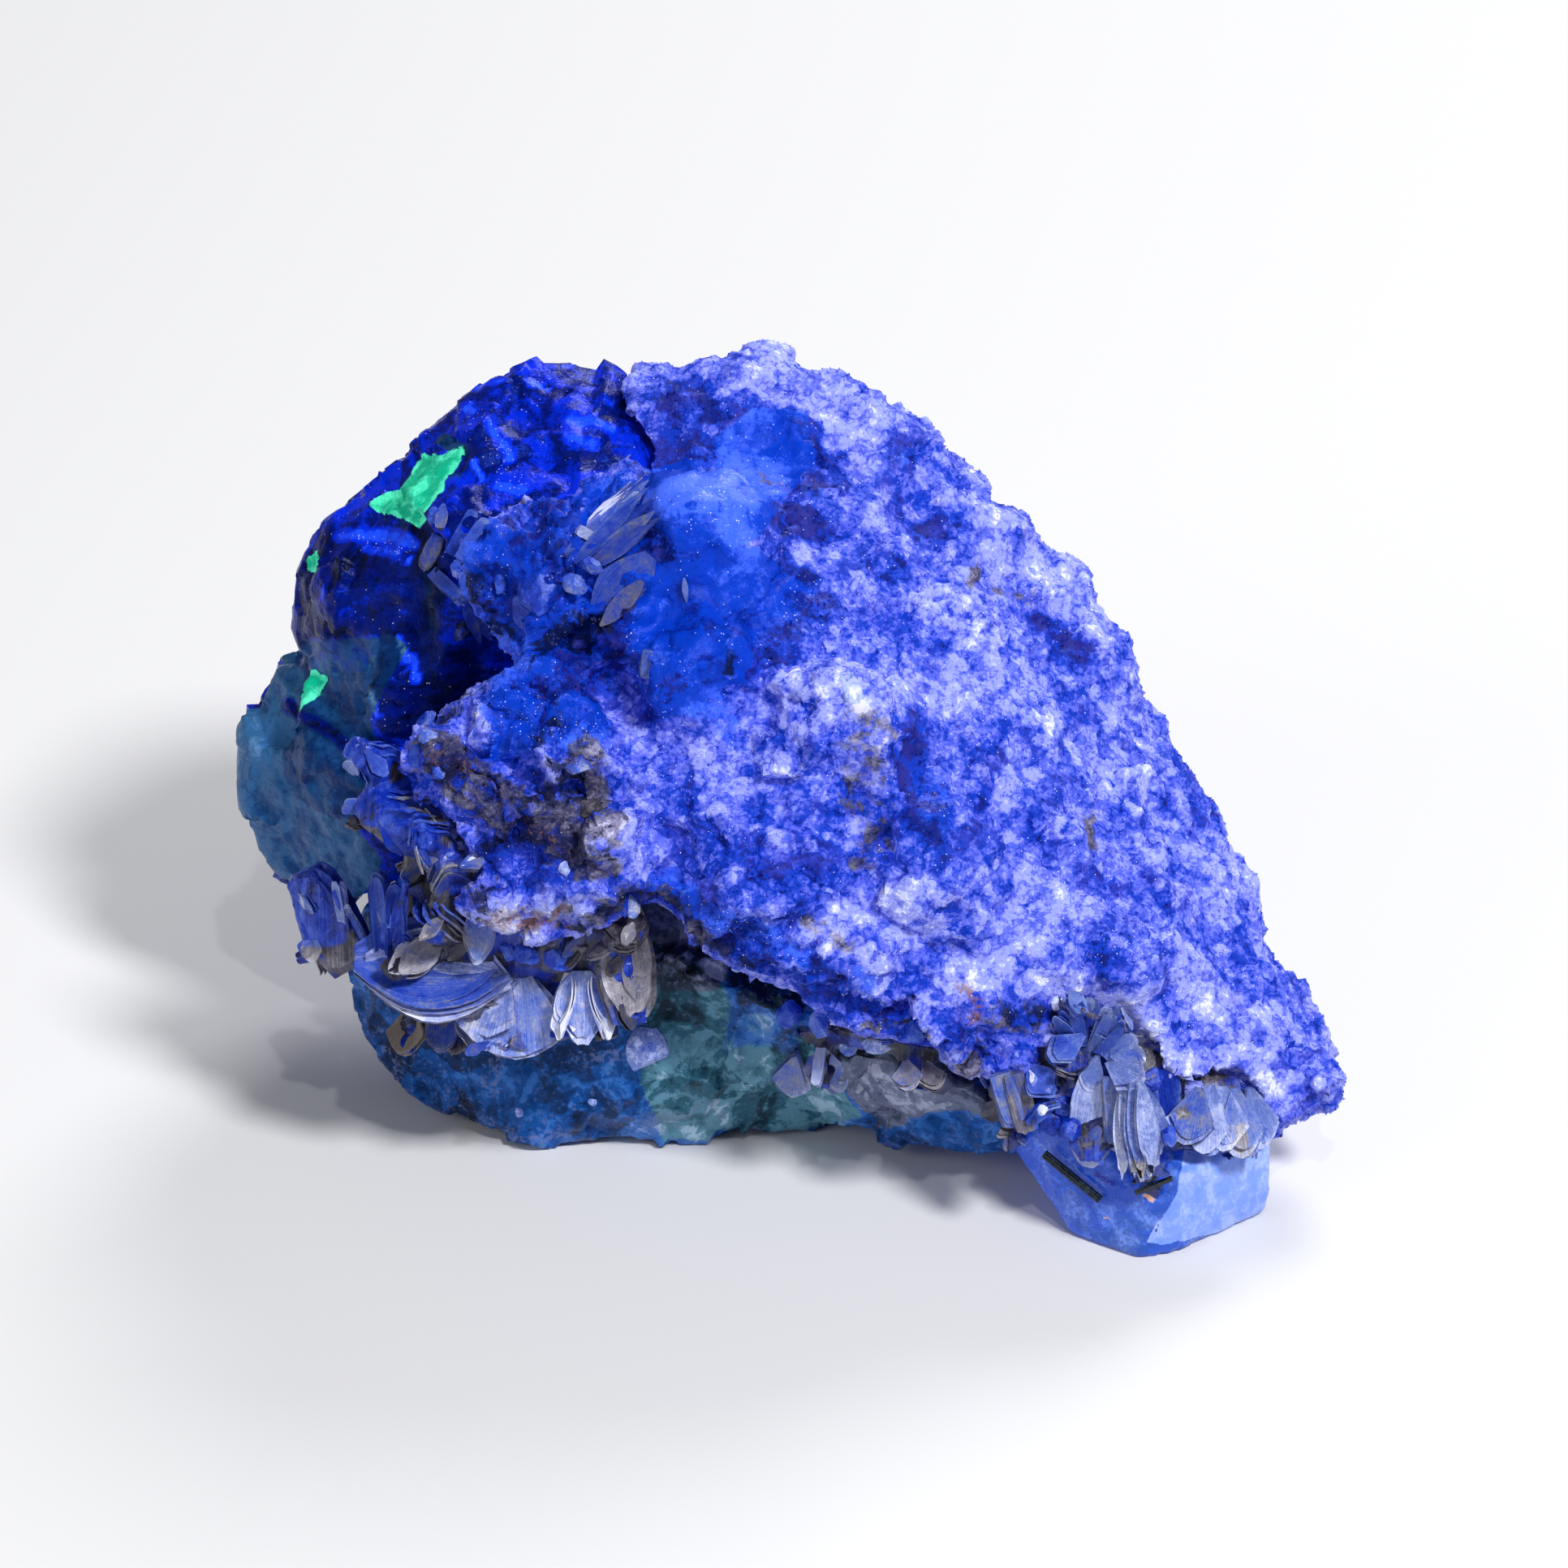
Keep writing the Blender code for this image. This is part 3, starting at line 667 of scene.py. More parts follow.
@dataclass(frozen=True)
class FeldsparFinish:
    """Sugary violet-blue feldspar: frosted patches, clear deep-blue ones, brown stain, bright sparkles, painted shade
    in its hollows and clefts and a faint painted glow.
    """

    tones: tuple[Colour, ...] = (
        (0.001, 0.006, 0.16), (0.003, 0.036, 0.48), (0.10, 0.13, 0.72), (0.30, 0.34, 0.86), (0.72, 0.75, 1.0),
    )
    stains: tuple[Colour, ...] = (
        (0.006, 0.005, 0.006), (0.042, 0.035, 0.035), (0.11, 0.10, 0.125), (0.26, 0.24, 0.37), (0.56, 0.55, 0.78),
    )
    clears: tuple[Colour, ...] = ((0.001, 0.012, 0.24), (0.001, 0.040, 0.52), (0.040, 0.12, 0.86), (0.32, 0.40, 1.0))
    purple: Colour = (0.050, 0.042, 0.34)
    rust: Colour = (0.22, 0.095, 0.065)
    # the colour of the painted shade in hollows and clefts
    dark: Colour = (0.001, 0.002, 0.02)
    glint: Colour = (0.85, 0.90, 1.0)
    sheen: Colour = (0.25, 0.35, 1.0)

    def build(self) -> Material:
        """Make the material."""
        s = Surface("feldspar")
        frost, clear, stain, rust = s.carried(Mark.FROST, Mark.CLEAR, Mark.STAIN, Mark.RUST)
        dark, sparkle, hollow_shade = s.carried(Mark.DARK, Mark.SPARKLE, "hollow_shade")
        broad = s.noise(9 * MM, 2.0)
        patch = s.noise(2.4 * MM, 5.0, 0.62, 0.2)
        blotch = s.noise(0.95 * MM, 4.0, 0.62)
        powder = s.noise(0.26 * MM, 3.0, 0.75)
        block, block_reach = s.cells(1.5 * MM, 0.4)
        crystal, crystal_reach = s.cells(0.62 * MM, 0.4)
        grain, _ = s.cells(0.21 * MM, 0.4)
        speck, reach = s.cells(0.13 * MM)
        cluster = s.noise(1.3 * MM, 3.0, 0.6)

        mosaic = (block - 0.5) * 1.6 + (crystal - 0.5) * 1.7 + (grain - 0.5) * 1.2
        seams = crystal_reach.step(0.40, 0.90) * 0.8 + block_reach.step(0.50, 0.85) * 0.9
        # painted shade: the level falls where the relief is hollow, darkening the hollows, and rises on its peaks
        level = (
            (frost - 0.75) * 1.15 + 1.0 + mosaic - seams + (patch - 0.5) * 3.4 + (blotch - 0.5) * 4.2
            + (powder - 0.5) * 2.8 + (broad - 0.5) * 2.2 - (hollow_shade - 0.4) * 1.8
        )
        colour = s.ramp(level, self.tones, (-2.5, -0.9, 0.5, 2.5), 1.6)
        bruise = (s.noise(1.9 * MM, 4.0, 0.65, 0.5) - level * 0.03).step(0.52, 0.75)
        colour = s.mix(bruise * 0.45, colour, self.purple)
        clearing = (clear + (patch - 0.5) * 1.6 + (blotch - 0.5) * 1.2 + (powder - 0.5) * 0.7).step(-0.05, 0.3)
        veins = s.noise(1.0, 5.0, 0.65, 0.8, s.stretched((260.0, 900.0, 520.0), (0.3, 0.7, 0.4)))
        depth = (
            frost * 0.8 + 0.2 + (patch - 0.5) * 3.0 + (veins - 0.5) * 3.6 + (block - 0.5) * 0.8 + (powder - 0.5) * 1.8
            + (blotch - 0.5) * 1.8 + sparkle.step(-0.8, 1.2) * 0.3
        )
        colour = s.mix(clearing * 0.95, colour, s.ramp(depth, self.clears, (-1.3, 0.2, 1.8), 1.0))
        staining = (stain + (patch - 0.5) * 1.5 + (blotch - 0.5) * 1.7 + (crystal - 0.5) * 0.5).step(0.25, 0.75)
        warm = s.ramp(level - 0.8, self.stains, (-1.9, -0.6, 0.6, 2.0), 1.1)
        colour = s.mix(staining * 0.9, colour, warm)
        colour = s.mix((rust + (powder - 0.5) * 2.2 + (blotch - 0.5) * 1.4).step(-0.05, 0.4) * 0.75, colour, self.rust)
        # painted shade: near-black in the hollows and clefts marked dark, and under the crust's lower edge
        shade = (dark + (patch - 0.5) * 3.0 + (blotch - 0.5) * 2.4 + (crystal - 0.5) * 0.8).step(-0.2, 0.5)
        colour = s.mix(shade * 0.92, colour, self.dark)
        lively = speck + sparkle.step(-0.8, 1.2) * 0.07 + (cluster - 0.5) * 0.30 - staining * 0.02
        glint = (lively > 0.985) * (1 - reach.step(0.1, 0.42))
        colour = s.mix(glint * 0.85, colour, self.glint)

        relief = blotch * 0.5 + powder * 0.5
        # painted glow: the crust's colour also emits faintly, which lifts its shaded parts
        shader = s.principled({
            "Base Color": colour, "Roughness": 0.58 - clearing * 0.34 - glint * 0.35 - crystal * 0.12,
            "Specular IOR Level": 0.35, "Specular Tint": self.sheen, "Normal": s.bump(relief, 0.15 * MM),
            "Emission Color": colour, "Emission Strength": 0.08,
        })
        return s.finish(shader)


@dataclass(frozen=True)
class DeepFluoriteFinish:
    """Glassy ultramarine fluorite over a paler, greyer crystal, with patches of bright green hyalite."""

    blues: tuple[Colour, ...] = (
        (0.0004, 0.0012, 0.012), (0.0006, 0.005, 0.13), (0.0010, 0.022, 0.66), (0.012, 0.075, 0.98), (0.22, 0.28, 1.0),
    )
    teals: tuple[Colour, ...] = (
        (0.0006, 0.003, 0.010), (0.0014, 0.020, 0.085), (0.008, 0.055, 0.17), (0.032, 0.12, 0.27), (0.10, 0.22, 0.40),
    )
    hyalite: Colour = (0.003, 0.36, 0.20)
    hyalite_rim: Colour = (0.08, 0.72, 0.44)
    glint: Colour = (0.55, 0.55, 1.0)
    sheen: Colour = (0.06, 0.16, 1.0)

    def build(self) -> Material:
        """Make the material."""
        s = Surface("fluorite_deep_blue")
        tone, teal, hyalite, sparkle = s.carried(Mark.TONE, Mark.TEAL, Mark.HYALITE, Mark.SPARKLE)
        broad = s.noise(4.5 * MM, 3.0, 0.5, 0.8)
        cloud = s.noise(1.5 * MM, 6.0, 0.62, 1.0)
        fine = s.noise(0.35 * MM, 3.0, 0.7)
        streak = s.noise(1.0, 4.0, 0.6, 0.4, s.stretched((320.0, 900.0, 1500.0), (0.4, 0.5, 0.2)))
        facet, _ = s.cells(2.6 * MM, 0.25)
        chip, _ = s.cells(0.8 * MM, 0.4)
        speck, reach = s.cells(0.14 * MM)
        cluster = s.noise(1.1 * MM, 3.0, 0.6)

        level = (
            tone + (broad - 0.5) * 1.8 + (cloud - 0.5) * 2.4 + (facet - 0.5) * 0.7 + (chip - 0.5) * 0.35
            + (streak - 0.5) * 1.6 + (fine - 0.5) * 1.2
        )
        blue = s.ramp(level, self.blues, (-0.9, 0.0, 1.2, 2.8), 0.8)
        grey = s.ramp(level, self.teals, (-0.9, 0.0, 1.0, 2.2), 0.8)
        colour = s.mix((teal + (cloud - 0.5) * 0.5 + (fine - 0.5) * 0.3).step(0.35, 0.65), blue, grey)
        lively = speck + sparkle.step(-0.5, 0.8) * 0.14 + (cluster - 0.5) * 0.2 - teal.step(0.2, 0.6) * 0.1
        glint = (lively > 0.99) * (1 - reach.step(0.1, 0.45))
        colour = s.mix(glint * 0.8, colour, self.glint)
        glow = (hyalite + (fine - 0.5) * 0.22 + (chip - 0.5) * 0.08).step(-0.02, 0.05)
        bright = (cloud * 1.3 + fine * 0.7 + chip * 0.3 - hyalite.step(0.0, 0.5) * 0.35).step(0.75, 1.25)
        green = s.mix(bright, self.hyalite, self.hyalite_rim)
        colour = s.mix(glow, colour, green)

        relief = cloud * 0.45 + fine * 0.3 + streak * 0.25
        # painted glow: the green hyalite emits light, and the rest a faint blue
        shader = s.principled({
            "Base Color": colour, "Roughness": 0.16 + fine * 0.16 + glow * 0.2, "Specular IOR Level": 0.4,
            "Specular Tint": self.sheen, "Normal": s.bump(relief, 0.24 * MM),
            "Emission Color": s.mix(glow, (0.0, 0.001, 0.02), green), "Emission Strength": 0.35,
        })
        return s.finish(shader)


@dataclass(frozen=True)
class TealFluoriteFinish:
    """Dark teal fluorite with green and smoky parts, straight pale veils and a dusting of grains."""

    blues: tuple[Colour, ...] = (
        (0.0006, 0.004, 0.022), (0.0014, 0.020, 0.10), (0.003, 0.065, 0.30), (0.030, 0.15, 0.52), (0.20, 0.32, 0.78),
    )
    greens: tuple[Colour, ...] = (
        (0.0010, 0.006, 0.012), (0.004, 0.030, 0.050), (0.020, 0.10, 0.15), (0.10, 0.26, 0.36), (0.34, 0.52, 0.68),
    )
    smokes: tuple[Colour, ...] = (
        (0.0014, 0.002, 0.006), (0.010, 0.012, 0.026), (0.050, 0.060, 0.110), (0.14, 0.16, 0.26), (0.38, 0.41, 0.56),
    )
    dust: Colour = (0.15, 0.19, 0.42)
    sheen: Colour = (0.35, 0.6, 1.0)

    def build(self) -> Material:
        """Make the material."""
        s = Surface("fluorite_teal")
        tone, green, smoke = s.carried(Mark.TONE, Mark.GREEN, Mark.SMOKE)
        veil, frost, teal = s.carried(Mark.VEIL, Mark.FROST, Mark.TEAL)
        broad = s.noise(4.5 * MM, 3.0, 0.5, 0.6)
        cloud = s.noise(1.7 * MM, 6.0, 0.62, 0.7)
        fine = s.noise(0.4 * MM, 4.0, 0.7)
        streak = s.noise(1.0, 4.0, 0.6, 0.3, s.stretched((300.0, 1200.0, 700.0), (0.5, 0.3, 0.6)))
        facet, _ = s.cells(3.2 * MM, 0.15)
        chip, _ = s.cells(1.1 * MM, 0.3)
        speck, _ = s.cells(0.24 * MM)
        lines = s.seams(5.5 * MM, 0.035) * cloud.step(0.35, 0.6)

        level = (
            tone - 0.25 + (broad - 0.5) * 1.8 + (cloud - 0.5) * 4.2 + (facet - 0.5) * 1.4 + (chip - 0.5) * 0.6
            + (streak - 0.5) * 1.8 + (fine - 0.5) * 1.9 + lines * 0.9
            + (veil + (fine - 0.5) * 0.5).step(-0.1, 0.15) * 1.3
        )
        stops = (-0.9, 0.0, 1.0, 2.3)
        colour = s.ramp(level, self.blues, stops, 0.8)
        greenery = s.ramp(level, self.greens, stops, 0.8)
        colour = s.mix((green + (cloud - 0.5) * 1.2 + (facet - 0.5) * 0.5).step(0.3, 0.7), colour, greenery)
        colour = s.mix((smoke + (cloud - 0.5) * 0.8).step(0.3, 0.7), colour, s.ramp(level, self.smokes, stops, 0.8))
        colour = s.mix(teal.step(0.3, 0.7), colour, s.ramp(level + 0.3, self.blues, stops, 0.8))
        dusting = (frost + (cloud - 0.5) * 1.6 + (fine - 0.5) * 2.4 + (speck - 0.5) * 1.2).step(0.3, 1.3)
        colour = s.mix(dusting * 0.7, colour, self.dust)

        relief = cloud * 0.5 + fine * 0.4
        # painted glow: the colour also emits faintly, which lifts the shaded parts
        shader = s.principled({
            "Base Color": colour, "Roughness": 0.22 + dusting * 0.35, "Specular IOR Level": 0.3,
            "Specular Tint": self.sheen, "Normal": s.bump(relief, 0.2 * MM), "Emission Color": colour,
            "Emission Strength": 0.05,
        })
        return s.finish(shader)


@dataclass(frozen=True)
class ClearCrystalFinish:
    """Clear blue crystal with small inclusions, clouded to pale lavender at its right-hand side."""

    tint: Colour = (0.80, 0.90, 1.0)
    absorbed: Colour = (0.03, 0.42, 0.96)
    density: float = 300.0
    ior: float = 1.48
    cloud: Colour = (0.20, 0.36, 1.0)
    wisp: Colour = (0.020, 0.16, 0.95)
    milk: Colour = (0.52, 0.60, 1.0)
    fleck: Colour = (0.75, 0.42, 0.25)

    def build(self) -> Material:
        """Make the material."""
        s = Surface("clear_crystal")
        pale, rust, dark = s.carried(Mark.PALE, Mark.RUST, Mark.DARK)
        cloud = s.noise(1.5 * MM, 5.0, 0.6, 0.6)
        fine = s.noise(0.25 * MM, 3.0, 0.7)
        facet, _ = s.cells(1.8 * MM, 0.2)
        bump = s.bump(cloud * 0.5 + fine * 0.25 + facet * 0.25, 0.12 * MM)
        clear = s.principled({
            "Base Color": self.tint, "Roughness": 0.05, "IOR": self.ior, "Transmission Weight": 1.0, "Normal": bump,
        })
        paleness = (pale + (cloud - 0.5) * 0.25).step(-0.04, 0.06)
        colour = s.mix((cloud + facet * 0.3 + fine * 0.2).step(0.62, 1.15), self.wisp, self.cloud)
        colour = s.mix(paleness * 0.85, colour, s.mix((cloud + fine * 0.3).step(0.45, 1.0), self.cloud, self.milk))
        colour = s.mix((dark + (fine - 0.5) * 0.6).step(0.0, 0.2), colour, (0.002, 0.012, 0.32))
        spot = (rust + (fine - 0.5) * 0.3).step(0.0, 0.1)
        colour = s.mix(spot, colour, self.fleck)
        # painted glow: the cloudy part's colour also emits faintly
        cloudy = s.principled({
            "Base Color": colour, "Roughness": 0.25, "Normal": bump, "Emission Color": colour,
            "Emission Strength": 0.12,
        })
        inclusions = (fine * 0.8 + cloud * 0.9).step(0.80, 1.1) * 0.38 + 0.38
        share = inclusions + paleness * 0.42 + spot * 0.6 + (dark + (fine - 0.5) * 0.6).step(0.0, 0.2) * 0.6
        mixed = s.node("ShaderNodeMixShader", inputs={0: s.maths("MINIMUM", share, 0.92), 1: clear, 2: cloudy})
        volume = s.node("ShaderNodeVolumeAbsorption", inputs={"Color": self.absorbed, "Density": self.density})
        return s.finish(mixed.outputs[0], volume.outputs[0])


COOL_TONES: tuple[Colour, ...] = (
    (0.0008, 0.004, 0.05), (0.003, 0.026, 0.38), (0.035, 0.085, 0.52), (0.15, 0.22, 0.60), (0.44, 0.51, 0.90),
    (0.86, 0.88, 1.0),
)
WARM_TONES: tuple[Colour, ...] = (
    (0.006, 0.005, 0.008), (0.032, 0.027, 0.032), (0.11, 0.10, 0.125), (0.26, 0.245, 0.28), (0.50, 0.48, 0.54),
    (0.86, 0.84, 0.90),
)
TONE_STOPS = (-0.5, 0.5, 1.5, 2.5, 3.5)


@dataclass(frozen=True)
class MicaFinish:
    """Pearly mica whose leaves run from saturated blue to beige and white, with fine striae and painted highlights
    along their rims.
    """

    gold: Colour = (0.32, 0.24, 0.13)
    sheen: Colour = (0.55, 0.65, 1.0)

    def build(self) -> Material:
        """Make the material."""
        s = Surface("mica")
        warmth, tone = s.carried(Mark.WARMTH, Mark.TONE)
        chance, shade, tan, banding = s.carried("chance", "shade", "tan", "banding")
        uv = s.node("ShaderNodeUVMap", {"uv_map": "leaf"}).outputs[0]
        place = s.node("ShaderNodeSeparateXYZ", inputs={0: uv})
        across, along = Value(s, place.outputs[0]), Value(s, place.outputs[1])
        lines = s.node("ShaderNodeMapping", inputs={"Vector": uv, "Scale": (64.0, 1.6, 1.0)}).outputs["Vector"]
        bands = s.node("ShaderNodeMapping", inputs={"Vector": uv, "Scale": (3.0, 16.0, 1.0)}).outputs["Vector"]
        striae = s.noise(1.0, 4.0, 0.65, 0.25, lines)
        growth = s.noise(1.0, 4.0, 0.6, 1.2, bands)
        cloud = s.noise(1.1 * MM, 5.0, 0.62, 0.6)
        fine = s.noise(0.20 * MM, 3.0, 0.75)
        side = s.maths("ABSOLUTE", across - 0.5, 0.0)
        rim = s.maths("MAXIMUM", side.step(0.40, 0.49), along.step(0.86, 0.98))
        edge = s.maths("MAXIMUM", side > 0.495, along > 0.995)

        # painted highlight: the level rises a little towards each leaf's rim
        level = (
            tone + shade + (chance - 0.6) * 1.1 + (cloud - 0.5) * 2.6 + (fine - 0.5) * 1.8 + (striae - 0.5) * 3.3
            + (growth - 0.5) * banding * 3.0 + rim * 0.25
        )
        warming = warmth + tan + edge * 0.3 + (cloud - 0.5) * 1.4 + (fine - 0.5) * 0.7
        warm = s.ramp(level, WARM_TONES, TONE_STOPS, 0.9)
        warm = s.mix((warmth - 1.0).step(0.0, 1.0) * 0.8, warm, self.gold)
        colour = s.mix(warming.step(0.2, 0.85), s.ramp(level, COOL_TONES, TONE_STOPS, 0.9), warm)
        # painted glow: the colour also emits very faintly
        shader = s.principled({
            "Base Color": colour, "Roughness": 0.24 + fine * 0.25, "Specular IOR Level": 0.55,
            "Specular Tint": self.sheen,
            "Normal": s.bump(striae * 0.6 + growth * banding * 0.4 + fine * 0.3, 0.09 * MM), "Coat Weight": 0.2,
            "Coat Roughness": 0.15, "Emission Color": colour, "Emission Strength": 0.03,
        })
        return s.finish(shader)


@dataclass(frozen=True)
class CrystalFinish:
    """Small glassy crystals, blue to white or brown to cream."""

    sheen: Colour = (0.6, 0.7, 1.0)

    def build(self) -> Material:
        """Make the material."""
        s = Surface("small_crystals")
        warmth, tone = s.carried(Mark.WARMTH, Mark.TONE)
        cloud = s.noise(0.8 * MM, 5.0, 0.65, 0.6)
        fine = s.noise(0.2 * MM, 4.0, 0.7)
        facet, _ = s.cells(0.6 * MM, 0.3)
        level = tone - 0.4 + (cloud - 0.5) * 3.4 + (fine - 0.5) * 2.6 + (facet - 0.5) * 1.0
        warming = (warmth + (cloud - 0.5) * 1.3).step(0.25, 0.75)
        cool = s.ramp(level, COOL_TONES, TONE_STOPS, 0.9)
        colour = s.mix(warming, cool, s.ramp(level, WARM_TONES, TONE_STOPS, 0.9))
        # painted glow: the colour also emits faintly
        shader = s.principled({
            "Base Color": colour, "Roughness": 0.15 + fine * 0.3, "Specular IOR Level": 0.5,
            "Specular Tint": self.sheen, "Normal": s.bump(cloud * 0.5 + fine * 0.5, 0.08 * MM),
            "Emission Color": colour, "Emission Strength": 0.06,
        })
        return s.finish(shader)


@dataclass(frozen=True)
class SchorlFinish:
    """Glossy black-green tourmaline, finely ribbed along its length."""

    body: Colour = (0.001, 0.004, 0.012)
    sheen: Colour = (0.008, 0.03, 0.05)

    def build(self) -> Material:
        """Make the material."""
        s = Surface("schorl")
        fine = s.noise(0.25 * MM, 3.0, 0.6)
        shader = s.principled({
            "Base Color": s.mix(fine.step(0.4, 0.7), self.body, self.sheen), "Roughness": 0.2 + fine * 0.15,
            "Normal": s.bump(fine, 0.03 * MM),
        })
        return s.finish(shader)


@dataclass(frozen=True)
class FloorFinish:
    """A plain pale floor."""

    colour: Colour = (0.72, 0.72, 0.73)

    def build(self) -> Material:
        """Make the material."""
        s = Surface("floor")
        return s.finish(s.principled({"Base Color": self.colour, "Roughness": 0.8}))


# Geometry Nodes


class Growth(Graph):
    """A Geometry Nodes tree with named inputs, run once on a mesh."""

    def __init__(self, name: str, sizes: dict[str, float | int]) -> None:
        """Start a tree.

        Args:
            name: Its name.
            sizes: Its named inputs and their values; whole numbers make integer inputs.
        """
        super().__init__(bpy.data.node_groups.new(name, "GeometryNodeTree"))
        face = self.tree.interface
        face.new_socket(name="Geometry", in_out="INPUT", socket_type="NodeSocketGeometry")
        face.new_socket(name="Geometry", in_out="OUTPUT", socket_type="NodeSocketGeometry")
        self.sizes = sizes
        self.identifiers: dict[str, str] = {}
        for label, value in sizes.items():
            kind = "NodeSocketInt" if isinstance(value, int) else "NodeSocketFloat"
            self.identifiers[label] = face.new_socket(name=label, in_out="INPUT", socket_type=kind).identifier
        self.entry = self.node("NodeGroupInput")

    def given(self, label: str) -> Value:
        """The value of a named input."""
        return Value(self, self.entry.outputs[label])

    def random(self, low: object, high: object, seed: object, vector: bool = False) -> Value:
        """A random number, or a random vector, for each element.

        Args:
            low: The least.
            high: The most.
            seed: Which draw.
            vector: Whether it is a vector.

        Returns:
            The draw.
        """
        lowest, highest, out = (0, 1, 0) if vector else (2, 3, 1)
        kind = "FLOAT_VECTOR" if vector else "FLOAT"
        made = self.node("FunctionNodeRandomValue", {"data_type": kind}, {lowest: low, highest: high, "Seed": seed})
        return Value(self, made.outputs[out])

    def close(self, geometry: object, material: Material) -> None:
        """Realize the instances, set the material and connect the output."""
        real = self.node("GeometryNodeRealizeInstances", inputs={"Geometry": geometry})
        dressed = self.node("GeometryNodeSetMaterial", inputs={"Geometry": real.outputs[0], "Material": material})
        self.node("NodeGroupOutput", inputs={"Geometry": dressed.outputs[0]})

    def run(self, mesh: Mesh, sizes: dict[str, float | int] | None = None) -> Mesh:
        """Run the tree.

        Args:
            mesh: The mesh that it starts from.
            sizes: Values for named inputs that differ from the tree's own.

        Returns:
            The plain mesh that it makes.
        """
        obj = link("growth", mesh)
        modifier = obj.modifiers.new("Growth", "NODES")
        modifier.node_group = self.tree
        for label, value in {**self.sizes, **(sizes or {})}.items():
            modifier[self.identifiers[label]] = value
        return evaluated(obj)


def grain_scatter(material: Material) -> Growth:
    """Sugary grains strewn over a surface, thickest where its attribute "grain" is 1."""
    tree = Growth("grain_scatter", {"Density": 1.0e6, "Smallest": 0.45, "Largest": 1.0, "Width": 0.32 * MM, "Seed": 3})
    carried = tree.node("GeometryNodeInputNamedAttribute", {"data_type": "FLOAT"}, {"Name": "grain"})
    density = Value(tree, carried.outputs[0]) * tree.given("Density")
    points = tree.node(
        "GeometryNodeDistributePointsOnFaces",
        inputs={"Mesh": tree.given("Geometry"), "Density": density, "Seed": tree.given("Seed")},
    )
    ball = tree.node("GeometryNodeMeshUVSphere", inputs={"Segments": 4, "Rings": 2, "Radius": 0.5})
    shift = tree.random((-0.16, -0.16, -0.16), (0.16, 0.16, 0.16), 5, vector=True)
    rough = tree.node("GeometryNodeSetPosition", inputs={"Geometry": ball.outputs[0], "Offset": shift})
    shaped = tree.node("GeometryNodeTransform", inputs={"Geometry": rough.outputs[0], "Scale": (1.0, 0.8, 0.65)})
    turn = tree.random((0.0, 0.0, 0.0), (6.3, 6.3, 6.3), 7, vector=True)
    scale = tree.random(tree.given("Smallest"), tree.given("Largest"), 9) * tree.given("Width")
    grains = tree.node(
        "GeometryNodeInstanceOnPoints",
        inputs={"Points": points.outputs[0], "Instance": shaped.outputs[0], "Rotation": turn, "Scale": scale},
    )
    tree.close(grains.outputs[0], material)
    return tree


LEAF_MARKS = ("Warmth", "Tone", "Banding")


def leaf_stack(material: Material) -> Growth:
    """A book of mica: copies of one leaf, each a little behind, turned and smaller than the last."""
    tree = Growth(
        "leaf_stack",
        {
            "Leaves": 6, "Pitch": 0.15 * MM, "Spread": 0.06, "Shrink": 0.15, "Warmth": 0.0, "Tone": 0.0, "Banding": 0.0,
            "Seed": 1,
        },
    )
    step = tree.node("ShaderNodeCombineXYZ", inputs={"Z": tree.given("Pitch")})
    line = tree.node("GeometryNodeMeshLine", inputs={"Count": tree.given("Leaves"), "Offset": step.outputs[0]})
    spread = tree.given("Spread")
    widest = tree.node("ShaderNodeCombineXYZ", inputs={0: spread, 1: spread * 0.6, 2: spread * 1.6})
    least = tree.node("ShaderNodeVectorMath", {"operation": "SCALE"}, {0: widest.outputs[0], "Scale": -1.0})
    turn = tree.random(least.outputs[0], widest.outputs[0], tree.given("Seed"), vector=True)
    scale = tree.random(1 - tree.given("Shrink"), 1.0, 4)
    stored = tree.node(
        "GeometryNodeInstanceOnPoints",
        inputs={"Points": line.outputs[0], "Instance": tree.given("Geometry"), "Rotation": turn, "Scale": scale},
    ).outputs[0]
    carried = {"chance": tree.random(0.0, 1.0, 8), **{label.lower(): tree.given(label) for label in LEAF_MARKS}}
    for name, value in carried.items():
        stored = tree.node(
            "GeometryNodeStoreNamedAttribute",
            {"data_type": "FLOAT", "domain": "INSTANCE"},
            {"Geometry": stored, "Name": name, "Value": value},
        ).outputs["Geometry"]
    tree.close(stored, material)
    return tree


# Minerals


def set_piece(piece: Object, slot: str, *nodes: str) -> None:
    """Fix a finished piece to the specimen.

    Args:
        piece: The piece.
        slot: A material slot's name; not used.
        nodes: The solids that it stands for.
    """
    flat = np.empty(len(piece.data.vertices) * 3)
    piece.data.vertices.foreach_get("co", flat)
    piece.data.vertices.foreach_set("co", np.clip(flat.reshape(-1, 3), *CAD_BOX).ravel())
    piece.data.update()
    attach(piece, "root")
    if nodes:
        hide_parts(*nodes)
    log.info("%s: %d faces", piece.name, len(piece.data.polygons))


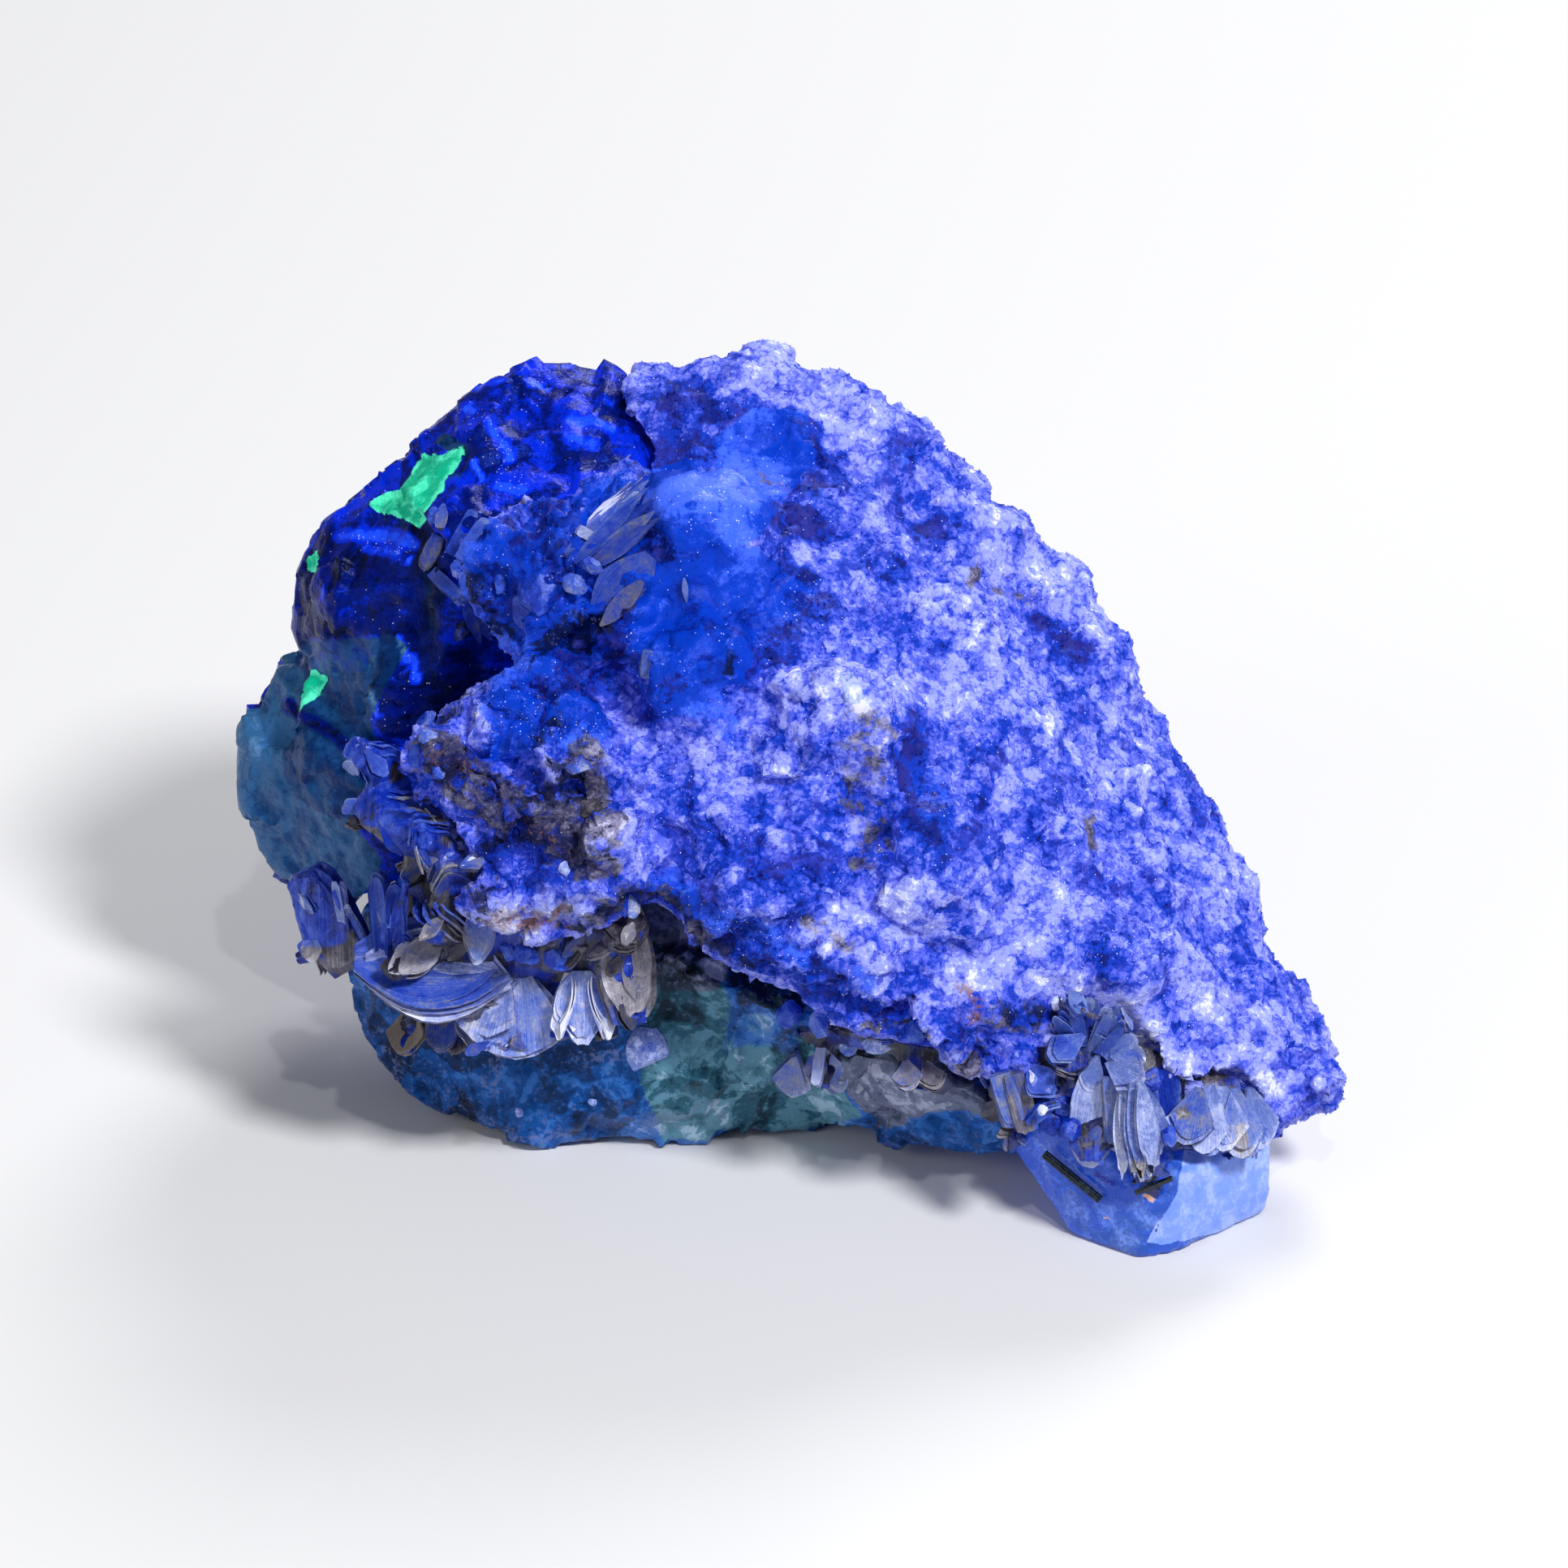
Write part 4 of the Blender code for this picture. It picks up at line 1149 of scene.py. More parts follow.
@dataclass
class GrownMineral:
    """A mineral whose fine skin grows on its solid, carries marks and rises into low facets.

    Args:
        lift: How far the whole skin stands out.
        facets: The rise and width, in millimetres, and the tilt of each mosaic of facets.
        swell: The rise and width of the soft noise over them, in millimetres.
        seed: The first mosaic's; each layer takes the next.
    """

    node: str = ""
    slot: str = ""
    mesh_grain: float = 0.34 * MM
    smoothing: int = 4
    lift: float = 0.14 * MM
    facets: tuple[Triple, ...] = ()
    swell: tuple[float, float] | None = (0.05, 0.9)
    seed: int = 1

    base_levels: ClassVar[dict[Mark, float]] = {}
    fields: ClassVar[dict[Mark, Sequence[Stroke | Patch]]] = {}
    lines: ClassVar[dict[Mark, Sequence[Stroke]]] = {}
    outlines: ClassVar[dict[Mark, Sequence[Sequence[Pixel]]]] = {}

    def skin(self) -> FineSurface:
        """The bare skin, on its solid."""
        return FineSurface.grown_on(self.node, self.mesh_grain, self.smoothing)

    def relief(self, points: np.ndarray) -> np.ndarray:
        """How far the facets and the swell raise each point.

        Args:
            points: Points, one a row.

        Returns:
            A length for each point.
        """
        rise = np.zeros(len(points))
        for index, (height, width, tilt) in enumerate(self.facets):
            rise += height * MM * crystal_mosaic(points, width * MM, tilt, seed=self.seed + index)
        if self.swell:
            height, width = self.swell
            rise += height * MM * smooth_noise(points, width * MM, 3, seed=self.seed + len(self.facets))
        return rise

    def build(self) -> list[Object]:
        """Grow the mineral.

        Returns:
            The piece.
        """
        skin = self.skin()
        for mark, strokes in self.fields.items():
            skin.mark(mark, skin.painted(self.base_levels.get(mark, 0.0), strokes))
        for mark, strokes in self.lines.items():
            skin.mark(mark, skin.along(strokes))
        for mark, outlines in self.outlines.items():
            skin.mark(mark, skin.inside(outlines))
        skin.push(self.lift + self.relief(skin.points))
        piece = skin.piece(f"{self.node}_skin", self.finish.build())
        set_piece(piece, self.slot, self.node)
        return [piece]


@dataclass
class FeldsparCrust(GrownMineral):
    """The sugary crust: a dome, a stained ledge and a saddle of small crystals, strewn with grains."""

    node: str = "feldspar_crust"
    slot: str = "feldspar"
    mesh_grain: float = 0.36 * MM
    smoothing: int = 7
    lift: float = 0.16 * MM
    facets: tuple[Triple, ...] = ((0.36, 3.4, 1.0), (0.17, 1.5, 1.3), (0.06, 0.62, 1.4))
    swell: tuple[float, float] | None = (0.12, 1.1)
    back_lump: float = 7.0 * MM
    back_rise: float = 0.42 * MM
    grain_density: float = 3.0e6
    finish: FeldsparFinish = field(default_factory=FeldsparFinish)

    clear_strokes = marks(
        # the saddle, the top of the ledge and the ridge along the dome's edge, clear in places
        Patch(((545, 620), (640, 640), (700, 585), (790, 560), (800, 760), (720, 830), (600, 845), (535, 760)),
            0.3, 1.2),
        ((540, 850), (630, 880), (720, 890), (820, 850), 4, 0.3),
        ((820, 1090), (900, 1130), (980, 1180), (1060, 1210), 2.4, 0.16),
        ((1130, 905), (1155, 960), (1150, 1000), 2.6, 0.05), ((1110, 560), (1180, 545), 2.2, 0.1),
        ((860, 830), (900, 900), 2.2, 0.1),
        # the lens, the smooth patch under it, and the one above it
        Patch(((793, 575), (840, 558), (890, 565), (940, 590), (965, 620), (940, 660), (880, 690), (830, 680),
            (800, 650)), 1.0, 0.5),
        Patch(((795, 695), (850, 690), (930, 672), (965, 700), (1010, 728), (985, 760), (940, 775), (925, 850),
            (880, 850), (850, 830), (800, 820), (768, 790), (780, 740)), 1.0, 0.5),
        Patch(((870, 540), (930, 498), (1000, 500), (1012, 560), (1000, 590), (960, 612), (900, 590)), 0.6, 0.8),
    )
    frost_base: float = 0.75
    frost_strokes = marks(
        # deep-blue ground: the saddle, the top of the ledge, the left of the dome, the ridge along its edge
        ((560, 660), (640, 720), (720, 640), (720, 780), (600, 800), 6, -1.7),
        ((540, 850), (640, 880), (720, 870), (820, 850), 3.4, -1.4),
        ((840, 500), (830, 620), (850, 760), (960, 760), (980, 600), (980, 545), 4.2, -1.3),
        ((880, 820), (940, 800), 3, -1.5), ((545, 940), (540, 1020), (560, 1100), 2.2, -0.5),
        ((620, 1050), (700, 1070), 2.6, -0.6), ((760, 1110), (860, 1130), (960, 1180), (1030, 1215), 2.6, -0.7),
        ((830, 1010), (950, 1050), (1010, 1120), 3.2, -0.15), ((1000, 1230), (1120, 1270), (1220, 1300), 2.6, -0.4),
        ((1260, 1240), (1330, 1290), 2.2, -0.9),
        # darker spots in the dome
        ((1125, 910), (1150, 1000), 2.6, -1.7), ((1290, 770), (1340, 790), 1.2, -1.4),
        ((1020, 1010), (1060, 1045), 2, -0.6), ((1180, 1050), (1215, 1020), 2, -0.6),
        ((1345, 935), (1370, 945), 1.4, -0.5), ((1150, 655), (1175, 650), 1.9, -1.3),
        ((1085, 690), (1110, 700), 1.4, -0.4), ((1305, 800), (1320, 815), 1.6, -1), ((880, 1100), 2, -1),
        ((1350, 1170), (1370, 1190), 2.4, -0.2), ((1545, 1265), 2, -0.1), ((1425, 960), (1440, 990), 1.4, -0.2),
        ((1000, 610), (940, 640), 1.5, -1.2),
        # frosted patches
        ((905, 468), (960, 465), (1010, 490), (1080, 520), 2.2, 1.5), ((1105, 530), (1130, 570), 1.8, 0.9),
        ((1045, 545), (1060, 570), 1.6, 1.3), ((1085, 610), (1090, 650), 1.6, 0.9),
        ((990, 680), (1060, 680), 1.8, 0.6), ((1215, 620), (1240, 640), (1222, 690), 2, 2),
        ((1285, 700), (1325, 730), (1360, 770), 2.2, 2.1),
        ((1040, 855), (1110, 835), (1160, 850), (1215, 805), 2.8, 1.5), ((1130, 760), (1200, 740), 2.2, 0.9),
        ((920, 880), (900, 960), 1.8, 0.9), ((850, 900), (800, 960), (790, 1030), 1.8, 0.7),
        ((1020, 930), (1060, 935), 1.8, 0.9), ((1050, 1140), (1090, 1110), (1120, 1150), 3, 1.5),
        ((1170, 1200), (1215, 1205), 1.8, 1.6), ((1240, 1080), (1255, 1050), 1.8, 1.1),
        ((1320, 1090), (1390, 1020), (1420, 1040), 2.2, 1), ((1480, 1060), (1505, 1110), 2.2, 1.7),
        ((1350, 850), (1380, 880), 2, 0.9), ((1540, 1200), (1560, 1220), 1.6, 0.9),
        ((1400, 1280), (1440, 1310), (1500, 1335), 2, 1.7), ((1560, 1325), (1640, 1335), 1.8, 1.4),
        ((1620, 1280), (1640, 1310), 1.6, 1), ((610, 1150), (660, 1140), (690, 1135), 2, 1.3),
        ((860, 1050), (890, 1060), 1.4, 0.7), ((1290, 1210), (1310, 1235), 1, 1.2),
        ((770, 990), (800, 1050), 2, 1.3), ((1270, 850), (1340, 930), (1400, 1020), 3.2, 1.25),
        ((1000, 1000), (1080, 1040), 2.6, 0.3), ((1400, 1245), (1450, 1325), 2, 2.6),
        ((1500, 1180), (1530, 1250), 1.5, 0.1), ((1110, 560), (1150, 530), (1195, 560), 2, 0.1),
        ((1036, 832), (1060, 868), 0.8, 3), ((560, 835), (640, 855), 1.2, -0.6),
        ((1380, 1150), (1470, 1230), (1560, 1330), 1.5, 1.2), ((1430, 1150), (1500, 1210), (1570, 1260), 1.3, 1.3),
        ((1555, 1325), (1578, 1342), 0.8, 3.2), ((1600, 1260), (1640, 1330), (1610, 1390), 2.4, 1.1),
        ((825, 612), (890, 590), (940, 585), 3, 0.8), ((560, 850), (640, 865), (720, 850), 2.4, -1.7),
        ((600, 1062), (680, 1072), 1.6, -0.1), ((625, 1128), (700, 1134), 1.6, 1.8),
        ((575, 1000), (620, 1025), 1.8, 0.6),
    )
    relief_base: float = 0.6
    relief_strokes = marks(
        ((560, 660), (640, 720), (720, 640), (720, 780), (600, 800), 6, 1.5),
        ((540, 860), (640, 920), (720, 960), (600, 1020), (620, 1100), 5.5, 1.7),
        ((760, 1110), (860, 1130), (960, 1180), (1080, 1250), (1220, 1300), 2.8, 1.4),
        ((840, 610), (900, 620), 4, 0.35), ((850, 750), (960, 720), 3.6, 0.55),
    )
    washes = {
        Mark.STAIN: marks(
            ((530, 925), (570, 965), (620, 1000), (680, 1030), (740, 1020), 3.4, 0.62),
            ((515, 900), (505, 960), (540, 1040), 1.6, 0.35), ((620, 1130), (720, 1140), 2.4, 0.55),
            ((720, 930), (735, 1020), 2.4, 0.8), ((555, 920), (600, 970), (660, 1020), (710, 1025), 3.4, 0.74),
            ((690, 1060), (750, 1068), 2.2, 0.7), ((560, 1060), (580, 1120), (640, 1150), 1.8, 0.5),
            ((1060, 880), (1080, 1000), 3, 0.3), ((960, 1260), (1100, 1290), (1200, 1310), 2.2, 0.35),
            ((850, 1120), (860, 1150), 1.6, 0.3), ((1210, 1250), (1280, 1270), 1.8, 0.3),
            ((1500, 1320), (1540, 1360), 2, 0.15),
        ),
        Mark.RUST: marks(
            ((535, 930), (585, 950), (600, 970), 1.6, -0.08), ((640, 1020), (700, 1050), 1.6, -0.18),
            ((610, 1128), (690, 1140), 1.8, 0.05), ((725, 950), (740, 990), 1.2, -0.18),
            ((1185, 1215), (1205, 1240), 1.3, -0.15), ((1500, 1325), 1, 0), ((980, 1270), 1.2, -0.3),
        ),
    }
    lines = {
        Mark.STAIN: marks(
            ((540, 940), (560, 960), 0.8), ((515, 900), (508, 930), 0.7),
            ((690, 1040), (730, 1010), (745, 960), (715, 925), 1.1),
            ((740, 1130), (770, 1105), (830, 1115), (870, 1150), 1.1), ((1078, 1020), (1060, 1062), 1),
            ((990, 1235), (1050, 1280), (1120, 1300), (1190, 1320), 1.3), ((1232, 1235), (1262, 1272), 0.8),
            ((540, 690), (575, 740), (600, 800), 0.9), ((770, 740), (735, 770), 1.2),
            ((1345, 1010), (1350, 1040), 0.8), ((1205, 700), (1195, 720), 0.8), ((1226, 722), (1270, 735), 0.6),
            ((940, 580), (958, 590), 0.6), ((1060, 880), (1100, 900), 0.8), ((1045, 970), (1090, 1040), 0.9),
            ((990, 1130), (1040, 1165), 0.8), ((950, 1230), (985, 1290), 0.8), ((1065, 1262), (1150, 1285), 0.7),
            ((640, 975), (600, 1010), 0.9),
        ),
        Mark.RUST: marks(
            ((1188, 1214), (1205, 1240), (1195, 1262), 0.45), ((1505, 1318), (1500, 1332), 0.40),
            ((585, 948), (600, 962), 0.40), ((640, 1142), (690, 1132), 0.45),
        ),
        # painted shade: hollows in the ledge and the saddle, the cleft along the left crystal, a pit in the dome, a
        # hollow among the right-hand blades and a line under the crust's lower edge
        Mark.DARK: marks(
            ((600, 1048), (640, 1052), 0.7), ((655, 985), (690, 975), 0.6), ((560, 1085), (590, 1108), 0.8),
            ((735, 1040), (760, 1052), 0.6), ((488, 900), (545, 870), (598, 830), (600, 780), (575, 720), 0.9),
            ((665, 790), (715, 775), 0.8), ((905, 810), (900, 830), 0.35),
            ((800, 1118), (860, 1160), (930, 1195), (985, 1235), 0.8), ((670, 905), (690, 890), 0.6),
            ((516, 992), (545, 1020), (574, 1053), 0.7), ((684, 948), (712, 952), 0.5),
            ((712, 1142), (730, 1168), 0.5), ((690, 775), (720, 790), 0.7), ((1275, 1248), (1300, 1280), 0.7),
        ),
        Mark.SPARKLE: marks(
            ((1330, 1130), (1400, 1160), (1440, 1230), 3), ((600, 860), (700, 900), (820, 880), 1.6),
            ((880, 650), (930, 640), 1.2), ((900, 1130), (1000, 1190), 1.5), ((700, 720), (760, 640), 1.5),
        ),
    }

    def build(self) -> list[Object]:
        """Grow the crust and its grains.

        Returns:
            The pieces.
        """
        material = self.finish.build()
        skin = self.skin()
        layers = {mark: skin.along(strokes) for mark, strokes in self.lines.items()}
        for mark, strokes in self.washes.items():
            layers[mark] = np.maximum(layers[mark], skin.painted(-1.5, strokes))
        layers[Mark.CLEAR] = skin.painted(-1.5, self.clear_strokes)
        layers[Mark.FROST] = skin.painted(self.frost_base, self.frost_strokes)
        rough = skin.painted(self.relief_base, self.relief_strokes)
        lumps = self.back_rise * crystal_mosaic(skin.points, self.back_lump, 1.4, seed=5)
        relief = (self.relief(skin.points) + lumps * np.clip(skin.normals[:, 1], 0, 1)) * rough
        skin.push(self.lift + relief)
        # painted shade: how deep each point lies in the relief's hollows, which the finish darkens
        layers["hollow_shade"] = np.clip(0.5 - relief / (0.6 * MM), 0.0, 1.0)
        layers["grain"] = np.clip(0.8 - layers[Mark.CLEAR] * 1.2, 0.0, 1.0)
        for mark, values in layers.items():
            skin.mark(mark, values)
        crust = skin.piece("feldspar_crust_skin", material)
        set_piece(crust, self.slot, self.node)
        grains = grain_scatter(material).run(crust.data.copy(), {"Density": self.grain_density})
        scatter = link("feldspar_grains", grains)
        set_piece(scatter, self.slot)
        return [crust, scatter]


@dataclass
class LeftFluorite(GrownMineral):
    """The deep-blue crystal at the upper left and the paler one grown into it below."""

    node: str = "fluorite_left"
    slot: str = "fluorite_deep_blue"
    smoothing: int = 6
    facets: tuple[Triple, ...] = ((0.26, 5.0, 1.0), (0.11, 1.8, 1.2))
    seed: int = 6
    finish: DeepFluoriteFinish = field(default_factory=DeepFluoriteFinish)

    hyalite = (
        (
            (448, 616), (467, 601), (485, 593), (498, 577), (507, 560), (518, 555), (531, 557), (542, 559),
            (567, 546), (571, 550), (560, 567), (552, 578), (544, 590), (546, 599), (533, 607), (523, 622),
            (515, 629), (503, 645), (492, 637), (477, 629), (463, 624),
        ),
        (
            (370, 831), (383, 826), (389, 832), (402, 835), (397, 845), (397, 853), (383, 866), (371, 878),
            (366, 890), (361, 886), (361, 863), (362, 845),
        ),
        ((368, 697), (374, 683), (383, 676), (391, 684), (390, 694), (382, 702), (373, 702)),
    )
    window = (
        (362, 786), (388, 791), (420, 798), (443, 791), (480, 782), (500, 800), (478, 840), (460, 880),
        (466, 930), (440, 1005), (400, 1003), (372, 985), (350, 960), (349, 930), (371, 880), (362, 840),
    )
    flank = (
        (362, 790), (362, 886), (349, 930), (350, 960), (372, 985), (400, 1003), (436, 1005), (470, 1060),
        (460, 1120), (340, 1110), (280, 1040), (270, 900), (330, 790),
    )
    base_levels = {Mark.TONE: 0.05}
    tones = marks(
        Patch(flank, 1.5, 0.3), Patch(window, 0.1, 0.3),
        Patch(((360, 700), (395, 655), (470, 636), (512, 645), (545, 700), (550, 776), (500, 795), (362, 790)),
            -0.7, 0.7),
        ((340, 1010), (400, 1040), (430, 1090), 2.5, 0.9),
        Patch(((452, 806), (500, 796), (560, 790), (612, 830), (590, 880), (530, 910), (470, 905)), -0.75, 0.4),
        Patch(((365, 788), (464, 786), (455, 826), (420, 836), (372, 832)), 0.7, 0.3),
        # painted highlight: the bright streaks across the left lobe
        ((410, 656), (455, 650), (500, 664), 0.7, 1.5), ((440, 668), (480, 676), 0.4, 1.3), ((493, 689), 0.35, 2.6),
        ((402, 731), 0.35, 2.6), ((501, 644), (525, 680), (539, 712), 0.6, -1.4),
        ((524, 680), (532, 730), (528, 778), 1, -1.2), ((345, 868), (400, 898), (448, 938), 0.8, -0.9),
        ((380, 985), (420, 1000), 0.6, -0.6),
        # the upper crystal's darker and brighter parts; the bright line along its top ridge, and the small bright spots
        # and streaks that lie on the sparkle marks, are painted highlights
        ((600, 640), (650, 610), (700, 590), 1.2, -0.4), ((625, 470), (690, 475), (770, 500), 0.7, -0.5),
        ((590, 600), (560, 640), 1, -0.6), ((680, 540), (720, 570), (770, 560), 0.9, -0.2),
        ((705, 512), (752, 525), 0.8, 2), ((700, 535), (735, 545), 0.5, 1.4),
        ((640, 450), (700, 446), (775, 462), 0.45, 2), ((653, 468), (675, 472), 0.35, 2.6),
        ((578, 506), (588, 512), 0.35, 2.6), ((605, 526), (628, 555), 0.5, 2.2), ((582, 568), (592, 582), 0.3, 3),
        ((611, 588), (645, 598), 0.4, 2.2), ((560, 500), (590, 480), (620, 470), 0.5, 1.5),
        ((488, 787), (499, 816), 0.3, 2.6), ((504, 812), (514, 836), 0.45, 2.3), ((461, 853), (467, 878), 0.3, 2.8),
    )
    teals = marks(
        Patch(flank, 1, 0.3), Patch(window, 1, 0.3),
        Patch(((365, 788), (464, 786), (455, 826), (420, 836), (372, 832)), 0.6, 0.3),
        ((522, 690), (530, 775), 0.7, 0.9), ((542, 540), (568, 552), 0.8, 0.8),
        ((345, 868), (400, 898), (448, 938), 0.7, 0),
    )
    sparkles = marks(
        ((653, 468), (675, 472), 0.8), ((578, 506), (610, 540), (630, 590), 0.9), ((488, 787), (510, 836), 0.7),
        ((640, 450), (775, 462), 0.5), ((461, 853), (467, 878), 0.6), ((415, 655), (495, 668), 0.6),
    )

    fields = {Mark.TONE: tones, Mark.TEAL: teals}
    lines = {Mark.SPARKLE: sparkles}
    outlines = {Mark.HYALITE: hyalite}


@dataclass
class FluoriteBase(GrownMineral):
    """The blocky teal crystal underneath, with green and smoky parts and pale veils."""

    node: str = "fluorite_base"
    slot: str = "fluorite_teal"
    facets: tuple[Triple, ...] = ((0.26, 5.5, 0.9), (0.12, 1.9, 1.2))
    swell: tuple[float, float] | None = (0.05, 0.8)
    seed: int = 11
    finish: TealFluoriteFinish = field(default_factory=TealFluoriteFinish)

    base_levels = {Mark.TONE: 0.5}
    fields = {
        Mark.TONE: marks(
            Patch(((646, 1290), (800, 1290), (790, 1345), (775, 1402), (616, 1402), (630, 1370), (650, 1330)),
                0.35, 0.3),
            Patch(((785, 1095), (870, 1095), (880, 1165), (800, 1170)), 1.3, 0.6),
            Patch(((802, 1164), (884, 1160), (890, 1222), (815, 1222)), -0.5, 0.8),
            Patch(((866, 1180), (898, 1176), (900, 1206), (872, 1212)), 2.4, 0.45),
            Patch(((890, 1165), (985, 1175), (990, 1250), (905, 1240)), -0.9, 0.6),
            Patch(((852, 1216), (908, 1214), (906, 1272), (862, 1280)), 1.5, 0.45),
            Patch(((899, 1244), (972, 1250), (950, 1300), (900, 1290)), 0.9, 0.45),
            Patch(((811, 1220), (858, 1222), (874, 1270), (818, 1272)), -0.3, 0.6),
            Patch(((814, 1262), (850, 1266), (848, 1326), (812, 1328)), 2.2, 0.6),
            Patch(((845, 1274), (948, 1280), (950, 1322), (846, 1326)), 1.9, 0.8),
            Patch(((824, 1322), (888, 1320), (886, 1354), (826, 1356)), 0.9, 0.6),
            Patch(((888, 1318), (938, 1318), (930, 1348), (892, 1350)), 1.3, 0.6),
            Patch(((790, 1356), (908, 1354), (900, 1398), (780, 1400)), 1.6, 1.4),
            Patch(((1000, 1300), (1150, 1320), (1240, 1370), (1140, 1396), (1084, 1394), (1040, 1350)), 2.4, 0.8),
            Patch(((1110, 1316), (1142, 1320), (1138, 1352), (1108, 1350)), 2.9, 0.6),
            Patch(((1118, 1382), (1245, 1380), (1245, 1424), (1118, 1420)), 0.5, 0.6),
            Patch(((960, 1340), (1070, 1340), (1060, 1400), (950, 1400)), 1.9, 0.5),
            ((975, 1250), (955, 1296), 0.5, -0.6), ((820, 1180), (862, 1206), 0.25, 3),
            ((840, 1172), (872, 1192), 0.2, 2.6), ((656, 1330), (622, 1398), 0.35, 1.9),
            ((690, 1330), (720, 1345), 0.4, 1.6), ((797, 1292), 1.3, 2.4),
            ((440, 1270), (540, 1350), (600, 1390), 3.4, -0.1), ((860, 1368), (900, 1362), 0.5, 2.4),
            ((1160, 1350), (1210, 1370), 1, 1),
        ),
        Mark.GREEN: marks(
            Patch(((800, 1190), (870, 1200), (990, 1270), (1060, 1385), (1000, 1400), (820, 1400), (790, 1340)),
                1.0, 0.5),
            Patch(((890, 1165), (985, 1175), (985, 1300), (899, 1292)), 0.1, 1.6),
            Patch(((1118, 1382), (1245, 1380), (1245, 1424), (1118, 1420)), 0.2, 0.6),
        ),
        Mark.SMOKE: marks(
            Patch(((1000, 1270), (1100, 1300), (1250, 1340), (1300, 1385), (1120, 1384), (1080, 1396), (1040, 1350)),
                1.0, 0.5),
            Patch(((785, 1095), (872, 1095), (886, 1222), (812, 1222)), 1, 0.5),
            Patch(((866, 1180), (898, 1176), (900, 1206), (872, 1212)), 0.8, 0.45),
            Patch(((790, 1356), (908, 1354), (900, 1398), (780, 1400)), 0.4, 1.4),
        ),
        Mark.TEAL: marks(Patch(((1118, 1382), (1245, 1380), (1245, 1424), (1118, 1420)), 1, 0.6)),
        Mark.FROST: marks(
            ((460, 1280), (520, 1345), (590, 1390), 2.2, 0.25), ((610, 1300), (600, 1340), 1, 0.7),
            ((620, 1404), (700, 1400), 0.6, 0.8), ((700, 1310), (760, 1300), 0.8, 0.6),
        ),
    }
    lines = {
        Mark.VEIL: marks(
            ((815, 1325), (792, 1353), (775, 1395), 0.18), ((936, 1321), (908, 1356), (890, 1391), 0.16),
            ((960, 1335), (945, 1370), (935, 1398), 0.10),
        ),
    }


@dataclass
class ClearCrystal(GrownMineral):
    """The clear crystal that the right end stands on."""

    node: str = "clear_crystal"
    slot: str = "clear_crystal"
    mesh_grain: float = 0.25 * MM
    smoothing: int = 2
    lift: float = 0.04 * MM
    facets: tuple[Triple, ...] = ((0.03, 1.6, 1.0),)
    swell: tuple[float, float] | None = None
    seed: int = 21
    finish: ClearCrystalFinish = field(default_factory=ClearCrystalFinish)
    pale_part = ((1462, 1400), (1570, 1380), (1580, 1480), (1540, 1510), (1430, 1535), (1412, 1530), (1450, 1470))
    outlines = {Mark.PALE: (pale_part,)}
    lines = {
        Mark.RUST: marks(((1412, 1473), (1419, 1478), 0.22), ((1360, 1500), (1366, 1503), 0.12)),
        Mark.DARK: marks(((1352, 1446), (1372, 1458), 0.3), ((1466, 1421), (1440, 1480), (1420, 1528), 0.12)),
    }


class LeafShape(Enum):
    """A mica leaf's outline: half its width at its root, middle and tip, and how round its tip is, as shares."""

    PETAL = (0.35, 1.0, 0.55, 0.20)
    FAN = (0.18, 0.72, 1.0, 0.36)
    BLADE = (0.8, 1.0, 0.6, 0.12)
    DISC = (0.7, 1.0, 0.7, 0.28)
    ROD = (0.9, 1.0, 0.85, 0.06)
    BOAT = (0.28, 1.0, 0.25, 0.05)


@dataclass(frozen=True)
class MicaBook:
    """One book of mica leaves, whose broad side faces a direction.

    Args:
        root: Pixel of its fixed end and its depth in mm from the target; without one, the surface seen there.
        tip: The same, of its free end.
        curl_mm: How far its tip bends towards the side that it faces.
        warmth: From 0, blue, to 1, beige and brown, and 2, gold.
        tone: From 0, dark, to 4, white.
        cup: How far its sides bend likewise, as a share of its width.
        banding: How strong the growth lines across it are.
        spread: How far its leaves splay, in radians.
    """

    root: tuple[float, ...]
    tip: tuple[float, ...]
    faces: tuple[float, float, float]
    width_mm: float
    thick_mm: float
    curl_mm: float
    leaves: int = 6
    shape: LeafShape = LeafShape.PETAL
    warmth: float = 0.0
    tone: float = 1.0
    cup: float = 0.16
    banding: float = 0.0
    spread: float = 0.05


def books(*rows: tuple) -> tuple[MicaBook, ...]:
    """Mica books from rows of their fields."""
    return tuple(MicaBook(*row) for row in rows)


